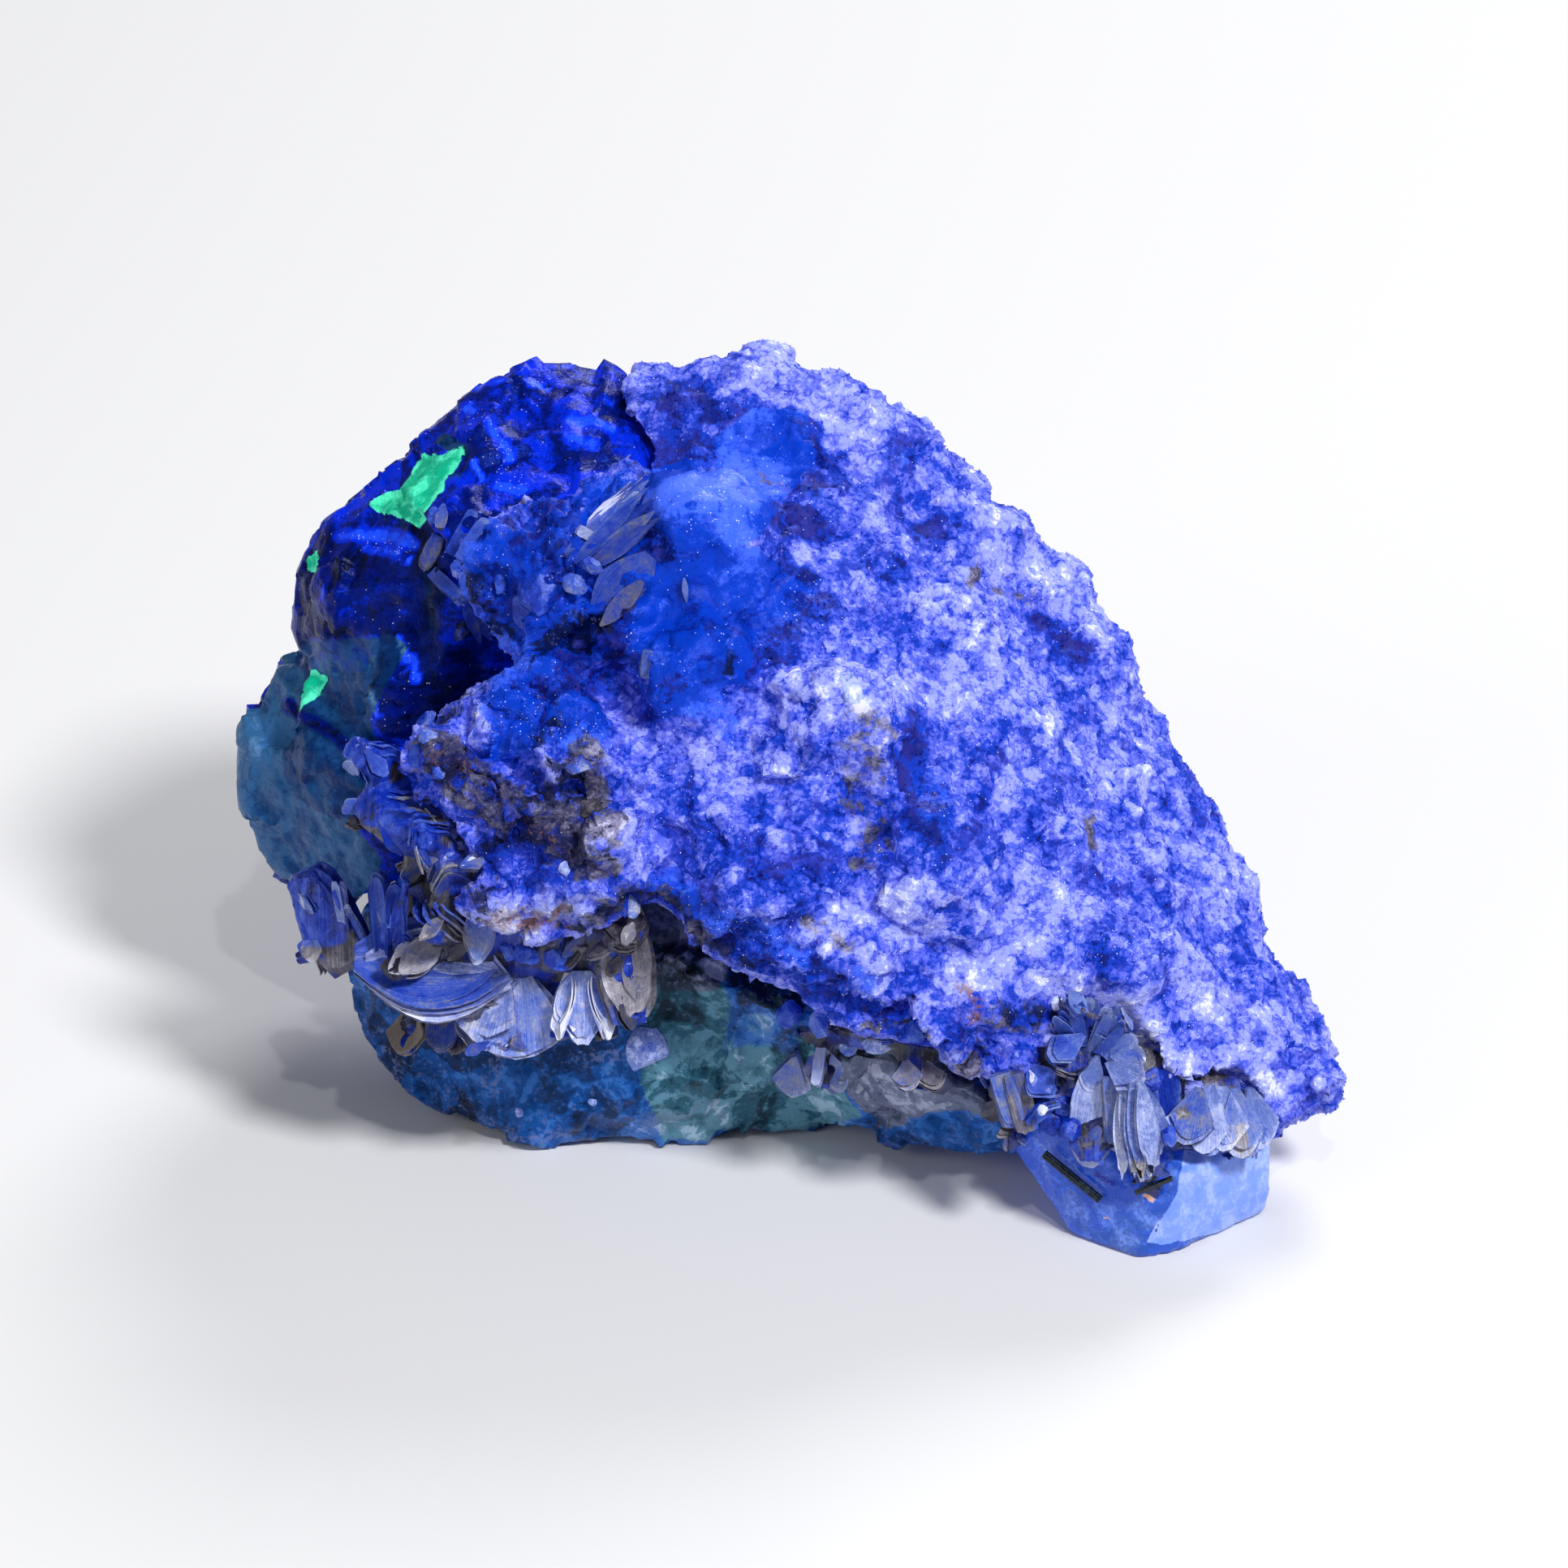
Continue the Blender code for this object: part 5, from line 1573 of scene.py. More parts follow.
@dataclass
class MicaBooks:
    """A cluster of mica books.

    Args:
        node: The solid of the body that they grow from, or nothing where that is another mineral.
        shades: Marks that make the cluster lighter or darker.
        tans: Marks that make it browner or bluer.
        sprigs: How many small books are strewn over the body.
    """

    name: str
    node: str
    books: Sequence[MicaBook]
    material: Material
    shades: Sequence[Stroke | Patch] = ()
    tans: Sequence[Stroke | Patch] = ()
    sprigs: int = 0
    body_shrink: float = 0.12 * MM
    steps_along: int = 9
    steps_across: int = 6

    def leaf(self, book: MicaBook, length: float, seed: int) -> Mesh:
        """One closed leaf, its root at the origin, along +Y and facing +Z.

        Args:
            book: Its book.
            length: From root to tip.
            seed: Which raggedness.

        Returns:
            The leaf's mesh, with its UV map.
        """
        width, curl = book.width_mm * MM / 2, book.curl_mm * MM
        thickness = book.thick_mm * MM / book.leaves * 0.62
        root, middle, tip, arc = book.shape.value
        bm = bmesh.new()
        uv = bm.loops.layers.uv.new("leaf")
        sheets = []
        places: dict[bmesh.types.BMVert, tuple[float, float]] = {}
        for side in (0.0, 1.0):
            rows = []
            for i in range(self.steps_along + 1):
                u = i / self.steps_along
                half = width * (root * (1 - u) * (1 - 2 * u) + 4 * middle * u * (1 - u) + tip * u * (2 * u - 1))
                row = []
                for j in range(self.steps_across + 1):
                    v = j / self.steps_across * 2 - 1
                    reach = length * u * (1 - arc * v * v * u)
                    ragged = noise.noise(Vector((u * 3 + seed, v * 3, seed * 0.7)))
                    place = Vector(
                        (
                            half * v * (1 + 0.10 * ragged),
                            reach * (1 + 0.06 * ragged * u),
                            curl * u * u + width * book.cup * v * v + width * 0.08 * ragged * u + side * thickness,
                        )
                    )
                    vert = bm.verts.new(place)
                    places[vert] = (v * 0.5 + 0.5, u)
                    row.append(vert)
                rows.append(row)
            sheets.append(rows)
        below, above = sheets
        for i in range(self.steps_along):
            for j in range(self.steps_across):
                bm.faces.new((above[i][j], above[i][j + 1], above[i + 1][j + 1], above[i + 1][j]))
                bm.faces.new((below[i][j], below[i + 1][j], below[i + 1][j + 1], below[i][j + 1]))
        rim = [(i, 0) for i in range(self.steps_along)]
        rim += [(self.steps_along, j) for j in range(self.steps_across)]
        rim += [(i, self.steps_across) for i in range(self.steps_along, 0, -1)]
        rim += [(0, j) for j in range(self.steps_across, 0, -1)]
        for (i, j), (k, m) in zip(rim, rim[1:] + rim[:1]):
            bm.faces.new((above[i][j], above[k][m], below[k][m], below[i][j]))
        bmesh.ops.recalc_face_normals(bm, faces=bm.faces)
        for face in bm.faces:
            for loop in face.loops:
                loop[uv].uv = places[loop.vert]
        mesh = bpy.data.meshes.new("leaf")
        bm.to_mesh(mesh)
        bm.free()
        return mesh

    def grow(self, stack: Growth, book: MicaBook, ends: tuple[Vector, Vector], seed: int) -> Mesh:
        """One book in its place.

        Args:
            stack: The tree that copies its leaf.
            book: The book.
            ends: Its root and its tip.
            seed: Which raggedness.

        Returns:
            Its mesh.
        """
        root, tip = ends
        along = (tip - root).normalized()
        facing = Vector(book.faces)
        outward = (facing - along * facing.dot(along)).normalized()
        turn = Matrix((along.cross(outward), along, outward)).transposed().to_4x4()
        sizes = {
            "Leaves": book.leaves, "Pitch": book.thick_mm * MM / book.leaves, "Spread": book.spread,
            "Warmth": book.warmth, "Tone": book.tone, "Banding": book.banding, "Seed": seed,
        }
        mesh = stack.run(self.leaf(book, (tip - root).length, seed), sizes)
        mesh.transform(Matrix.Translation(root - outward * book.thick_mm * MM / 2) @ turn)
        return mesh

    def body(self) -> FineSurface:
        """The body that the books grow from, a little inside its solid."""
        body = FineSurface.grown_on(self.node, 0.3 * MM, 5)
        body.push(0.10 * MM * smooth_noise(body.points, 0.9 * MM, 3, seed=31) - self.body_shrink)
        body.mark("warmth", np.clip(0.7 + smooth_noise(body.points, 2.0 * MM, 2, seed=32), 0.0, 1.0))
        body.mark("tone", 0.2 + smooth_noise(body.points, 1.2 * MM, 3, seed=33) * 1.1)
        for name, value in (("chance", 0.5), ("banding", 0.0)):
            body.mark(name, np.full(len(body.points), value))
        corners = np.empty(len(body.mesh.loops), dtype=np.int32)
        body.mesh.loops.foreach_get("vertex_index", corners)
        waves = 0.45 + 0.3 * np.sin(body.points[corners][:, (0, 2)] / (3 * MM))
        body.mesh.uv_layers.new(name="leaf").data.foreach_set("uv", waves.ravel())
        body.mesh.materials.clear()
        body.mesh.materials.append(self.material)
        return body

    def strewn(self, stack: Growth, body: FineSurface) -> list[Mesh]:
        """Small books all over the body.

        Args:
            stack: The tree that copies their leaves.
            body: The body.

        Returns:
            Their meshes.
        """
        chance = np.random.default_rng(17)
        meshes = []
        for index in range(self.sprigs):
            spot = int(chance.integers(len(body.points)))
            outward = Vector(body.normals[spot])
            sideways = Vector(chance.normal(size=3)) + Vector((0.0, 0.0, -0.6))
            along = (sideways - outward * sideways.dot(outward)).normalized()
            root = Vector(body.points[spot]) - along * 0.5 * MM - outward * 0.2 * MM
            tip = root + along * chance.uniform(1.0, 2.2) * MM + outward * chance.uniform(0.2, 0.8) * MM
            shape = (LeafShape.PETAL, LeafShape.FAN, LeafShape.DISC)[index % 3]
            book = MicaBook(
                (), (), tuple(outward + Vector(chance.normal(size=3)) * 0.3),
                chance.uniform(0.6, 1.5), chance.uniform(0.3, 0.6), 0.1, 3, shape,
                chance.uniform(0.0, 1.0), chance.uniform(-0.3, 1.6),
            )
            meshes.append(self.grow(stack, book, (root, tip), index))
        return meshes

    def build(self) -> list[Object]:
        """Grow the cluster.

        Returns:
            The piece.
        """
        stack = leaf_stack(self.material)
        meshes = []
        for index, book in enumerate(self.books):
            lift = 0.15 + book.thick_mm / 4
            ends = [VIEW.at(*end) if len(end) > 2 else VIEW.touch(*end, lift) for end in (book.root, book.tip)]
            meshes.append(self.grow(stack, book, (ends[0], ends[1]), index))
        if self.node:
            body = self.body()
            meshes = [body.mesh, *self.strewn(stack, body), *meshes]
        piece = join_meshes(self.name, meshes)
        surface = FineSurface(piece.data)
        surface.mark("shade", surface.painted(0.0, self.shades))
        surface.mark("tan", surface.painted(0.0, self.tans))
        piece.data.polygons.foreach_set("use_smooth", [False] * len(piece.data.polygons))
        set_piece(piece, "mica", *([self.node] if self.node else []))
        return [piece]


BLADE, DISC, FAN, PETAL = LeafShape.BLADE, LeafShape.DISC, LeafShape.FAN, LeafShape.PETAL
BOAT, ROD = LeafShape.BOAT, LeafShape.ROD
LEFT_BOOKS = books(
    # standing along the left end
    ((440, 1188, -5.0), (366, 1078, -3.6), (-0.35, -0.9, 0.1), 3.6, 1.5, -1.3, 8, BLADE, 0.0, 0.0),
    ((450, 1175, -5.4), (430, 1108, -5.8), (-0.6, -0.7, 0.1), 1.3, 0.6, 0.3, 4, BLADE, 0.2, 1.4),
    ((424, 1135, -5.6), (418, 1084, -5.8), (-0.6, -0.7, 0.1), 0.7, 0.5, 0.0, 3, ROD, 0.1, 1.6),
    ((470, 1166, -7.0), (465, 1070, -7.2), (0.1, -0.95, 0.1), 1.0, 1.0, 0.1, 5, ROD, 0.1, 0.9, 0.5),
    ((484, 1172, -7.5), (488, 1088, -8.2), (0.3, -0.9, 0.1), 1.2, 0.9, -0.2, 5, ROD, 0.1, 0.5, 0.5),
    ((560, 1140, -7.4), (528, 1120, -10.6), (-0.1, -0.6, 0.75), 3.2, 1.8, 0.0, 7, DISC, 0.1, 0.6),
    ((590, 1118, -8.0), (590, 1192, -9.6), (0.1, -0.95, 0.2), 2.0, 0.9, 0.0, 4, DISC, 0.3, 2.3, 0.4),
    # the pale plate, the long curved one under it and the fan that hangs from that
    ((538, 1162, -7.2), (480, 1208, -10.0), (0.2, -0.45, 0.85), 2.4, 0.8, 0.2, 4, PETAL, 0.7, 2.6),
    ((437, 1188, -7.4), (642, 1200, -7.8), (0.0, -0.65, 0.75), 6.4, 1.0, 0.3, 5, BOAT, 0.25, 1.3, 0.34),
    ((450, 1196, -7.6), (636, 1212, -8.2), (0.0, -0.75, 0.65), 6.0, 0.5, 0.3, 3, BOAT, 0.3, 2.1, 0.30),
    ((636, 1190, -6.9), (634, 1308, -9.7), (0.05, -0.95, 0.2), 7.2, 0.7, 0.4, 5, FAN, 0.35, 2.1, 0.14),
    ((624, 1198, -7.6), (592, 1278, -9.6), (-0.3, -0.9, 0.3), 4.0, 0.4, 0.3, 3, FAN, 0.3, 1.8, 0.14),
    # two bright petals round a darker leaf, the striped book beside them and the dark book above
    ((708, 1200, -8.4), (694, 1286, -11.0), (-0.75, -0.65, 0.1), 1.7, 0.4, 0.4, 3, PETAL, 0.15, 3.5, 0.5),
    ((726, 1200, -8.4), (744, 1286, -11.0), (0.75, -0.65, 0.1), 1.7, 0.4, 0.4, 3, PETAL, 0.15, 3.7, 0.5),
    ((717, 1196, -8.6), (719, 1290, -11.0), (0.0, -1.0, 0.1), 3.6, 0.6, 0.2, 4, PETAL, 0.3, 1.9, 0.10),
    ((768, 1150, -8.0), (778, 1262, -10.4), (0.1, -0.98, 0.1), 3.6, 1.3, 0.3, 7, BLADE, 0.9, 1.4, 0.2, 0.8),
    ((768, 1122, -9.0), (768, 1176, -11.8), (0.1, -0.8, 0.5), 3.0, 1.1, 0.3, 6, BLADE, 1.0, 0.1),
    # the golden fan low on the left
    ((510, 1238, -5.0), (500, 1304, -7.4), (-0.3, -0.95, 0.1), 2.6, 0.6, 0.4, 5, FAN, 1.6, 2.0),
    ((545, 1245, -5.5), (548, 1300, -7.8), (0.0, -0.98, 0.2), 2.2, 0.6, 0.3, 5, BLADE, 0.3, 1.4),
    ((575, 1240, -6.0), (580, 1296, -8.4), (0.1, -0.98, 0.2), 1.8, 0.5, 0.3, 4, PETAL, 0.5, 2.2),
    # knobs up the end of the ledge
    ((500, 965, -5.0), (434, 916, -6.6), (-0.2, -0.8, 0.55), 2.8, 2.0, 0.4, 5, DISC, 0.0, 0.4),
    ((530, 1030, -6.5), (456, 985, -8.0), (-0.2, -0.9, 0.35), 3.4, 2.2, 0.3, 5, DISC, 0.1, 0.3),
    ((545, 1040, -8.0), (508, 1012, -10.2), (0.1, -0.95, 0.2), 2.2, 1.6, 0.2, 5, DISC, 0.2, 0.5),
    ((560, 1098, -8.5), (542, 1060, -10.6), (0.1, -0.9, 0.3), 2.6, 1.2, 0.3, 4, BLADE, 0.5, 1.0),
)
LEFT_SHADES = marks(
    ((440, 1200), (463, 1224), (508, 1252), (549, 1259), (601, 1240), (634, 1220), 0.5, 1.3),
    ((470, 1205), (520, 1225), (580, 1222), 0.8, -0.4), ((385, 1180), (425, 1195), 1, 1.3),
    ((375, 1085), (372, 1130), 0.3, 1.6), ((528, 1120), (548, 1131), (528, 1150), 0.3, -0.8),
    ((690, 1215), (684, 1250), (700, 1284), 0.5, 1.2), ((744, 1212), (752, 1250), (738, 1284), 0.5, 1.2),
    ((716, 1215), (718, 1280), 1.2, 0.6), ((430, 925), (470, 950), (510, 990), 1.6, 0.3),
)
LEFT_TANS = marks(
    Patch(((340, 1060), (410, 1060), (430, 1160), (380, 1172), (345, 1130)), -0.9, 0.4),
    Patch(((415, 895), (480, 900), (540, 950), (545, 1045), (490, 1050), (420, 960)), -0.8, 0.5),
    Patch(((455, 1060), (505, 1075), (500, 1165), (455, 1165)), -0.6, 0.3), ((385, 1180), (425, 1195), 1.2, 0.8),
    ((554, 1140), (570, 1170), 1, 0.8), ((463, 1228), (508, 1256), (549, 1262), 0.3, 0.6),
    # the last of these marks is a painted highlight: a gold glint on the dark book above the petals
    ((490, 950), (500, 985), (540, 1010), 0.7, 0.8), ((515, 1300), 0.4, 1.5), ((754, 1143), 0.35, 1.5),
)
RIGHT_BOOKS = books(
    # blades that stand up from the cluster
    ((1322, 1282), (1302, 1244), (-0.3, -0.8, 0.5), 1.0, 0.5, 0.2, 4, BLADE, 0.1, 0.8),
    ((1326, 1284), (1314, 1226), (-0.2, -0.85, 0.5), 0.9, 0.4, 0.1, 4, ROD, 0.0, 1.5),
    ((1332, 1286), (1328, 1230), (0.0, -0.9, 0.4), 1.0, 0.4, 0.2, 4, BLADE, 0.2, 0.9),
    ((1336, 1288), (1342, 1226), (0.1, -0.9, 0.4), 0.9, 0.4, 0.1, 4, ROD, 0.1, 1.7),
    ((1342, 1290), (1356, 1234), (0.1, -0.9, 0.4), 1.0, 0.5, 0.2, 4, BLADE, 0.0, 0.7),
    ((1346, 1292), (1370, 1240), (0.2, -0.9, 0.4), 0.9, 0.5, 0.1, 4, ROD, 0.2, 1.5),
    ((1352, 1296), (1384, 1254), (0.3, -0.85, 0.4), 1.0, 0.5, 0.2, 4, BLADE, 0.1, 0.9),
    ((1360, 1302), (1398, 1272), (0.4, -0.8, 0.4), 1.0, 0.5, 0.2, 4, ROD, 0.1, 1.6),
    # plates that lean out of it
    ((1334, 1276), (1288, 1306), (-0.1, -0.85, 0.5), 2.0, 0.6, 0.2, 4, FAN, 0.4, 1.3, 0.12),
    ((1342, 1290), (1306, 1336), (-0.1, -0.85, 0.5), 2.2, 0.5, 0.2, 4, FAN, 0.2, 1.6, 0.12),
    ((1352, 1300), (1340, 1344), (0.0, -0.85, 0.5), 1.6, 0.4, 0.2, 4, FAN, 0.3, 1.8, 0.12),
    ((1366, 1310), (1412, 1338), (0.1, -0.8, 0.6), 2.4, 0.6, 0.3, 4, FAN, 0.1, 2.1, 0.12),
    ((1366, 1300), (1410, 1306), (0.1, -0.8, 0.6), 1.8, 0.5, 0.3, 4, FAN, 0.5, 1.5, 0.12),
    # books that hang over the clear crystal
    ((1356, 1326), (1344, 1440), (-0.2, -0.97, 0.1), 3.2, 0.5, 0.1, 3, BLADE, 0.15, 1.8, 0.12),
    ((1368, 1326), (1378, 1420), (0.0, -0.97, 0.1), 1.2, 0.5, 0.1, 4, ROD, 0.7, 1.4, 0.12),
    ((1386, 1326), (1392, 1452), (-0.1, -0.97, 0.1), 1.3, 0.8, 0.3, 5, PETAL, 0.2, 2.6, 0.3, 0.8),
    ((1396, 1330), (1406, 1462), (0.0, -0.97, 0.1), 1.3, 0.8, 0.3, 5, PETAL, 0.5, 2.2, 0.3, 0.8),
    ((1404, 1334), (1420, 1452), (0.2, -0.95, 0.1), 1.3, 0.8, 0.3, 5, PETAL, 0.2, 2.7, 0.3, 0.8),
    ((1410, 1340), (1432, 1420), (0.3, -0.93, 0.1), 1.2, 0.7, 0.3, 4, PETAL, 0.2, 2.2, 0.3, 0.8),
    ((1436, 1316), (1442, 1420), (0.2, -0.96, 0.1), 1.6, 0.7, 0.2, 4, ROD, 0.0, 0.2),
    ((1232, 1322), (1252, 1390), (-0.1, -0.96, 0.2), 1.6, 0.7, 0.2, 6, ROD, 0.4, 1.3),
    ((1248, 1322), (1268, 1396), (0.1, -0.96, 0.2), 1.5, 0.7, 0.2, 6, ROD, 0.7, 1.0),
    ((1268, 1318), (1300, 1352), (0.3, -0.85, 0.4), 2.2, 0.6, 0.2, 4, PETAL, 0.05, 1.0),
    ((1478, 1340), (1464, 1414), (-0.2, -0.95, 0.2), 3.0, 0.6, 0.2, 4, FAN, 0.6, 0.7, 0.1),
    ((1492, 1338), (1484, 1428), (-0.1, -0.95, 0.2), 2.8, 0.5, 0.2, 4, FAN, 0.2, 1.4, 0.1),
    ((1506, 1340), (1510, 1422), (0.0, -0.97, 0.2), 3.4, 0.6, 0.2, 4, FAN, 0.3, 1.6, 0.1),
    ((1520, 1342), (1536, 1430), (0.2, -0.95, 0.2), 3.0, 0.6, 0.2, 4, FAN, 0.5, 1.0, 0.1),
    ((1538, 1340), (1556, 1416), (0.3, -0.9, 0.2), 2.8, 0.6, 0.2, 4, FAN, 0.2, 1.2, 0.1),
    # small plates under the dome's edge
    ((982, 1298), (974, 1344), (-0.1, -0.9, 0.35), 2.4, 0.5, 0.2, 4, FAN, 0.4, 1.9),
    ((1012, 1292), (1004, 1340), (-0.2, -0.95, 0.2), 0.7, 0.4, 0.2, 3, ROD, 0.3, 2.4),
    ((1016, 1292), (1034, 1344), (0.3, -0.9, 0.2), 1.6, 0.4, 0.2, 4, FAN, 0.4, 2.3),
    ((1118, 1308), (1122, 1346), (-0.2, -0.9, 0.3), 1.9, 0.5, 0.2, 4, FAN, 0.6, 1.9),
    ((1140, 1310), (1156, 1344), (0.25, -0.9, 0.3), 1.8, 0.5, 0.2, 4, FAN, 0.8, 1.3),
)
RIGHT_SHADES = marks(
    Patch(((1320, 1330), (1380, 1330), (1386, 1440), (1320, 1440)), 0.5, 0.5),
    Patch(((1448, 1335), (1580, 1325), (1580, 1440), (1450, 1436)), 1, 0.6),
    Patch(((1300, 1222), (1400, 1240), (1400, 1330), (1290, 1330)), 0.3, 0.6),
    # the last mark here is painted shade: the dark hollow among the standing blades
    Patch(((1276, 1340), (1330, 1350), (1326, 1420), (1276, 1410)), 0.2, 0.4), ((1270, 1248), (1300, 1282), 0.9, -1.2),
    ((1344, 1350), (1340, 1430), 0.4, 0.5), ((1434, 1320), (1446, 1420), 0.6, -0.3),
)
RIGHT_TANS = marks(
    Patch(((1300, 1330), (1450, 1330), (1450, 1470), (1320, 1440)), -0.32, 0.5),
    Patch(((1448, 1335), (1580, 1325), (1580, 1440), (1450, 1436)), -0.2, 0.6),
    Patch(((1300, 1222), (1400, 1240), (1400, 1330), (1290, 1330)), -0.3, 0.6),
    Patch(((1276, 1340), (1330, 1350), (1326, 1420), (1276, 1410)), -0.9, 0.4),
    ((1434, 1320), (1446, 1420), 0.8, -0.9), ((1400, 1440), (1410, 1452), 0.6, 1),
    ((1458, 1370), (1452, 1410), 0.5, 0.9), ((1524, 1390), (1536, 1425), 0.4, 0.8),
)
SADDLE_BOOKS = books(
    # ridges of blades that climb to the right, and the smooth panel under them
    ((688, 672), (790, 572), (-0.3, -0.7, 0.6), 0.9, 0.5, 0.1, 4, BOAT, 0.1, 0.2),
    ((696, 684), (800, 588), (-0.2, -0.8, 0.6), 1.0, 0.5, 0.1, 4, BOAT, 0.3, 1.0),
    ((708, 694), (808, 606), (-0.1, -0.8, 0.6), 1.0, 0.5, 0.1, 4, BOAT, 0.2, 0.5),
    ((736, 656), (790, 606), (0.0, -0.9, 0.5), 0.6, 0.4, 0.1, 3, ROD, 0.1, 1.9),
    ((722, 702), (812, 630), (0.1, -0.8, 0.5), 1.2, 0.5, 0.1, 4, BOAT, 0.4, 0.6),
    ((712, 652), (728, 662), (0.0, -0.9, 0.5), 0.7, 0.4, 0.0, 3, ROD, 0.1, 2.2),
    ((802, 684), (732, 770), (0.0, -0.9, 0.4), 3.2, 0.6, 0.0, 3, BOAT, 0.35, 0.3, 0.02),
    ((792, 716), (742, 776), (0.0, -0.9, 0.4), 1.2, 0.5, 0.0, 3, BOAT, 0.6, 0.4, 0.02),
    # plates and a long ribbon on its left
    ((542, 660), (522, 704), (-0.3, -0.8, 0.5), 1.1, 0.5, 0.2, 4, BLADE, 0.5, 0.6),
    ((556, 684), (586, 628), (-0.1, -0.8, 0.6), 0.9, 0.5, 0.2, 4, ROD, 0.0, 0.4),
    ((566, 690), (602, 640), (-0.1, -0.8, 0.6), 0.8, 0.5, 0.2, 4, ROD, 0.1, 0.9),
    ((534, 706), (576, 744), (-0.1, -0.8, 0.6), 0.9, 0.5, 0.1, 4, ROD, 0.2, 0.9),
    ((570, 738), (600, 790), (-0.1, -0.8, 0.6), 0.8, 0.5, 0.1, 4, BOAT, 0.3, 0.5),
    ((542, 652), (546, 622), (0.0, -0.9, 0.4), 0.8, 0.4, 0.1, 3, DISC, 0.4, 0.6),
    ((800, 802), (797, 836), (0.1, -0.9, 0.4), 0.9, 0.4, 0.1, 4, ROD, 0.1, 1.7),
    ((843, 712), (844, 744), (0.0, -0.95, 0.3), 0.4, 0.3, 0.0, 2, BOAT, 0.1, 1.9),
)


@dataclass(frozen=True)
class Chip:
    """A small crystal seen at a pixel, turned by degrees to the right; tone and warmth as for a mica book."""

    place: Pixel
    size_mm: tuple[float, float]
    turn: float = 0.0
    tone: float = 2.0
    warmth: float = 0.0
    lift_mm: float = 0.1


@dataclass
class CrystalChips:
    """Small glassy crystals on the other minerals, each the hull of this many random corners."""

    name: str
    chips: Sequence[Chip]
    corners: int = 26

    def chip(self, chip: Chip, seed: int) -> Mesh:
        """One crystal in its place.

        Args:
            chip: The crystal.
            seed: Which shape.

        Returns:
            Its mesh, with its marks.
        """
        chance = np.random.default_rng(seed)
        wide, high = (size * MM / 2 for size in chip.size_mm)
        cloud = chance.normal(size=(self.corners, 3))
        cloud /= np.linalg.norm(cloud, axis=1)[:, None]
        cloud *= np.array([wide, high, min(wide, high) * 0.8]) / np.abs(cloud).max(axis=0)
        lean = math.radians(chip.turn)
        right, up, back = Vector((1.0, 0.0, 0.0)), VIEW.up, VIEW.back
        across, along = right * math.cos(lean) - up * math.sin(lean), right * math.sin(lean) + up * math.cos(lean)
        middle = VIEW.touch(*chip.place, chip.lift_mm)
        bm = bmesh.new()
        verts = [bm.verts.new(middle + across * x + along * y + back * z) for x, y, z in cloud]
        bmesh.ops.convex_hull(bm, input=verts)
        bmesh.ops.delete(bm, geom=[vert for vert in bm.verts if not vert.link_faces], context="VERTS")
        bmesh.ops.recalc_face_normals(bm, faces=bm.faces)
        mesh = bpy.data.meshes.new("chip")
        bm.to_mesh(mesh)
        bm.free()
        surface = FineSurface(mesh)
        surface.mark(Mark.TONE, np.full(len(surface.points), chip.tone))
        surface.mark(Mark.WARMTH, np.full(len(surface.points), chip.warmth))
        return mesh

    def build(self) -> list[Object]:
        """Grow the crystals.

        Returns:
            The piece.
        """
        material = CrystalFinish().build()
        meshes = [self.chip(chip, index) for index, chip in enumerate(self.chips)]
        for mesh in meshes:
            mesh.materials.append(material)
        piece = join_meshes(self.name, meshes)
        set_piece(piece, "feldspar")
        return [piece]


CHIPS = (
    # the saddle
    Chip((665, 730), (2.4, 3.4), 10, 0.6), Chip((647, 752), (1.6, 2.6), -10, 0.8),
    Chip((617, 720), (0.9, 1.5), 0, 1.2), Chip((708, 720), (1.7, 1.3), 25, 1.7, 0.3),
    Chip((726, 694), (2.0, 1.2), 20, 1.1, 0.3), Chip((576, 775), (1.6, 2.0), 30, -0.6),
    Chip((529, 910), (1.5, 1.1), 30, 1.7, 0.3), Chip((699, 1070), (1.1, 1.0), 0, 2.6),
    Chip((535, 636), (0.9, 1.2), 0, 1.2, 0.3),
    # the ledge
    Chip((714, 945), (1.8, 1.2), 8, 1.6, 0.4), Chip((727, 995), (1.6, 1.4), -10, 1.0, 0.8),
    Chip((525, 885), (1.2, 1.6), 20, 1.4), Chip((512, 930), (1.2, 1.5), 0, 0.8), Chip((540, 952), (1.0, 0.9), 0, 1.4),
    Chip((650, 1175), (1.8, 1.6), 0, 1.0), Chip((690, 1180), (2.0, 1.6), 10, 0.8),
    Chip((625, 1172), (1.2, 1.3), 0, 1.5), Chip((780, 1114), (0.9, 1.8), 0, 2.6, 0.4),
    # the dome's edge and its fringe
    Chip((972, 1250), (1.6, 1.9), 15, 1.0), Chip((1010, 1262), (1.4, 1.7), -10, 1.6),
    Chip((1045, 1290), (1.2, 1.2), 0, 2.2), Chip((1080, 1288), (2.0, 1.1), 0, 2.9, 0.3),
    Chip((1130, 1270), (1.4, 1.6), 10, 1.2), Chip((1303, 1236), (1.0, 1.0), 0, 3.6),
    Chip((1050, 850), (1.3, 2.2), -15, 3.4),
    # the base
    Chip((797, 1292), (2.8, 3.2), 0, 2.7, 0.1, -0.2), Chip((640, 1370), (0.6, 0.7), 0, 2.6),
    Chip((730, 1358), (0.6, 0.5), 0, 2.4),
    # round the books on the right
    Chip((1296, 1382), (1.8, 1.8), 0, 0.2, 0.0, 0.5), Chip((1318, 1392), (1.5, 1.6), 20, 0.4, 0.0, 0.5),
    Chip((1284, 1367), (0.7, 0.7), 0, 3.9, 0.0, 1.0), Chip((1310, 1362), (1.3, 1.3), 0, 0.6, 0.0, 0.5),
    Chip((1420, 1330), (1.2, 1.6), 20, 0.5), Chip((1440, 1400), (1.0, 1.4), 0, 1.0),
)


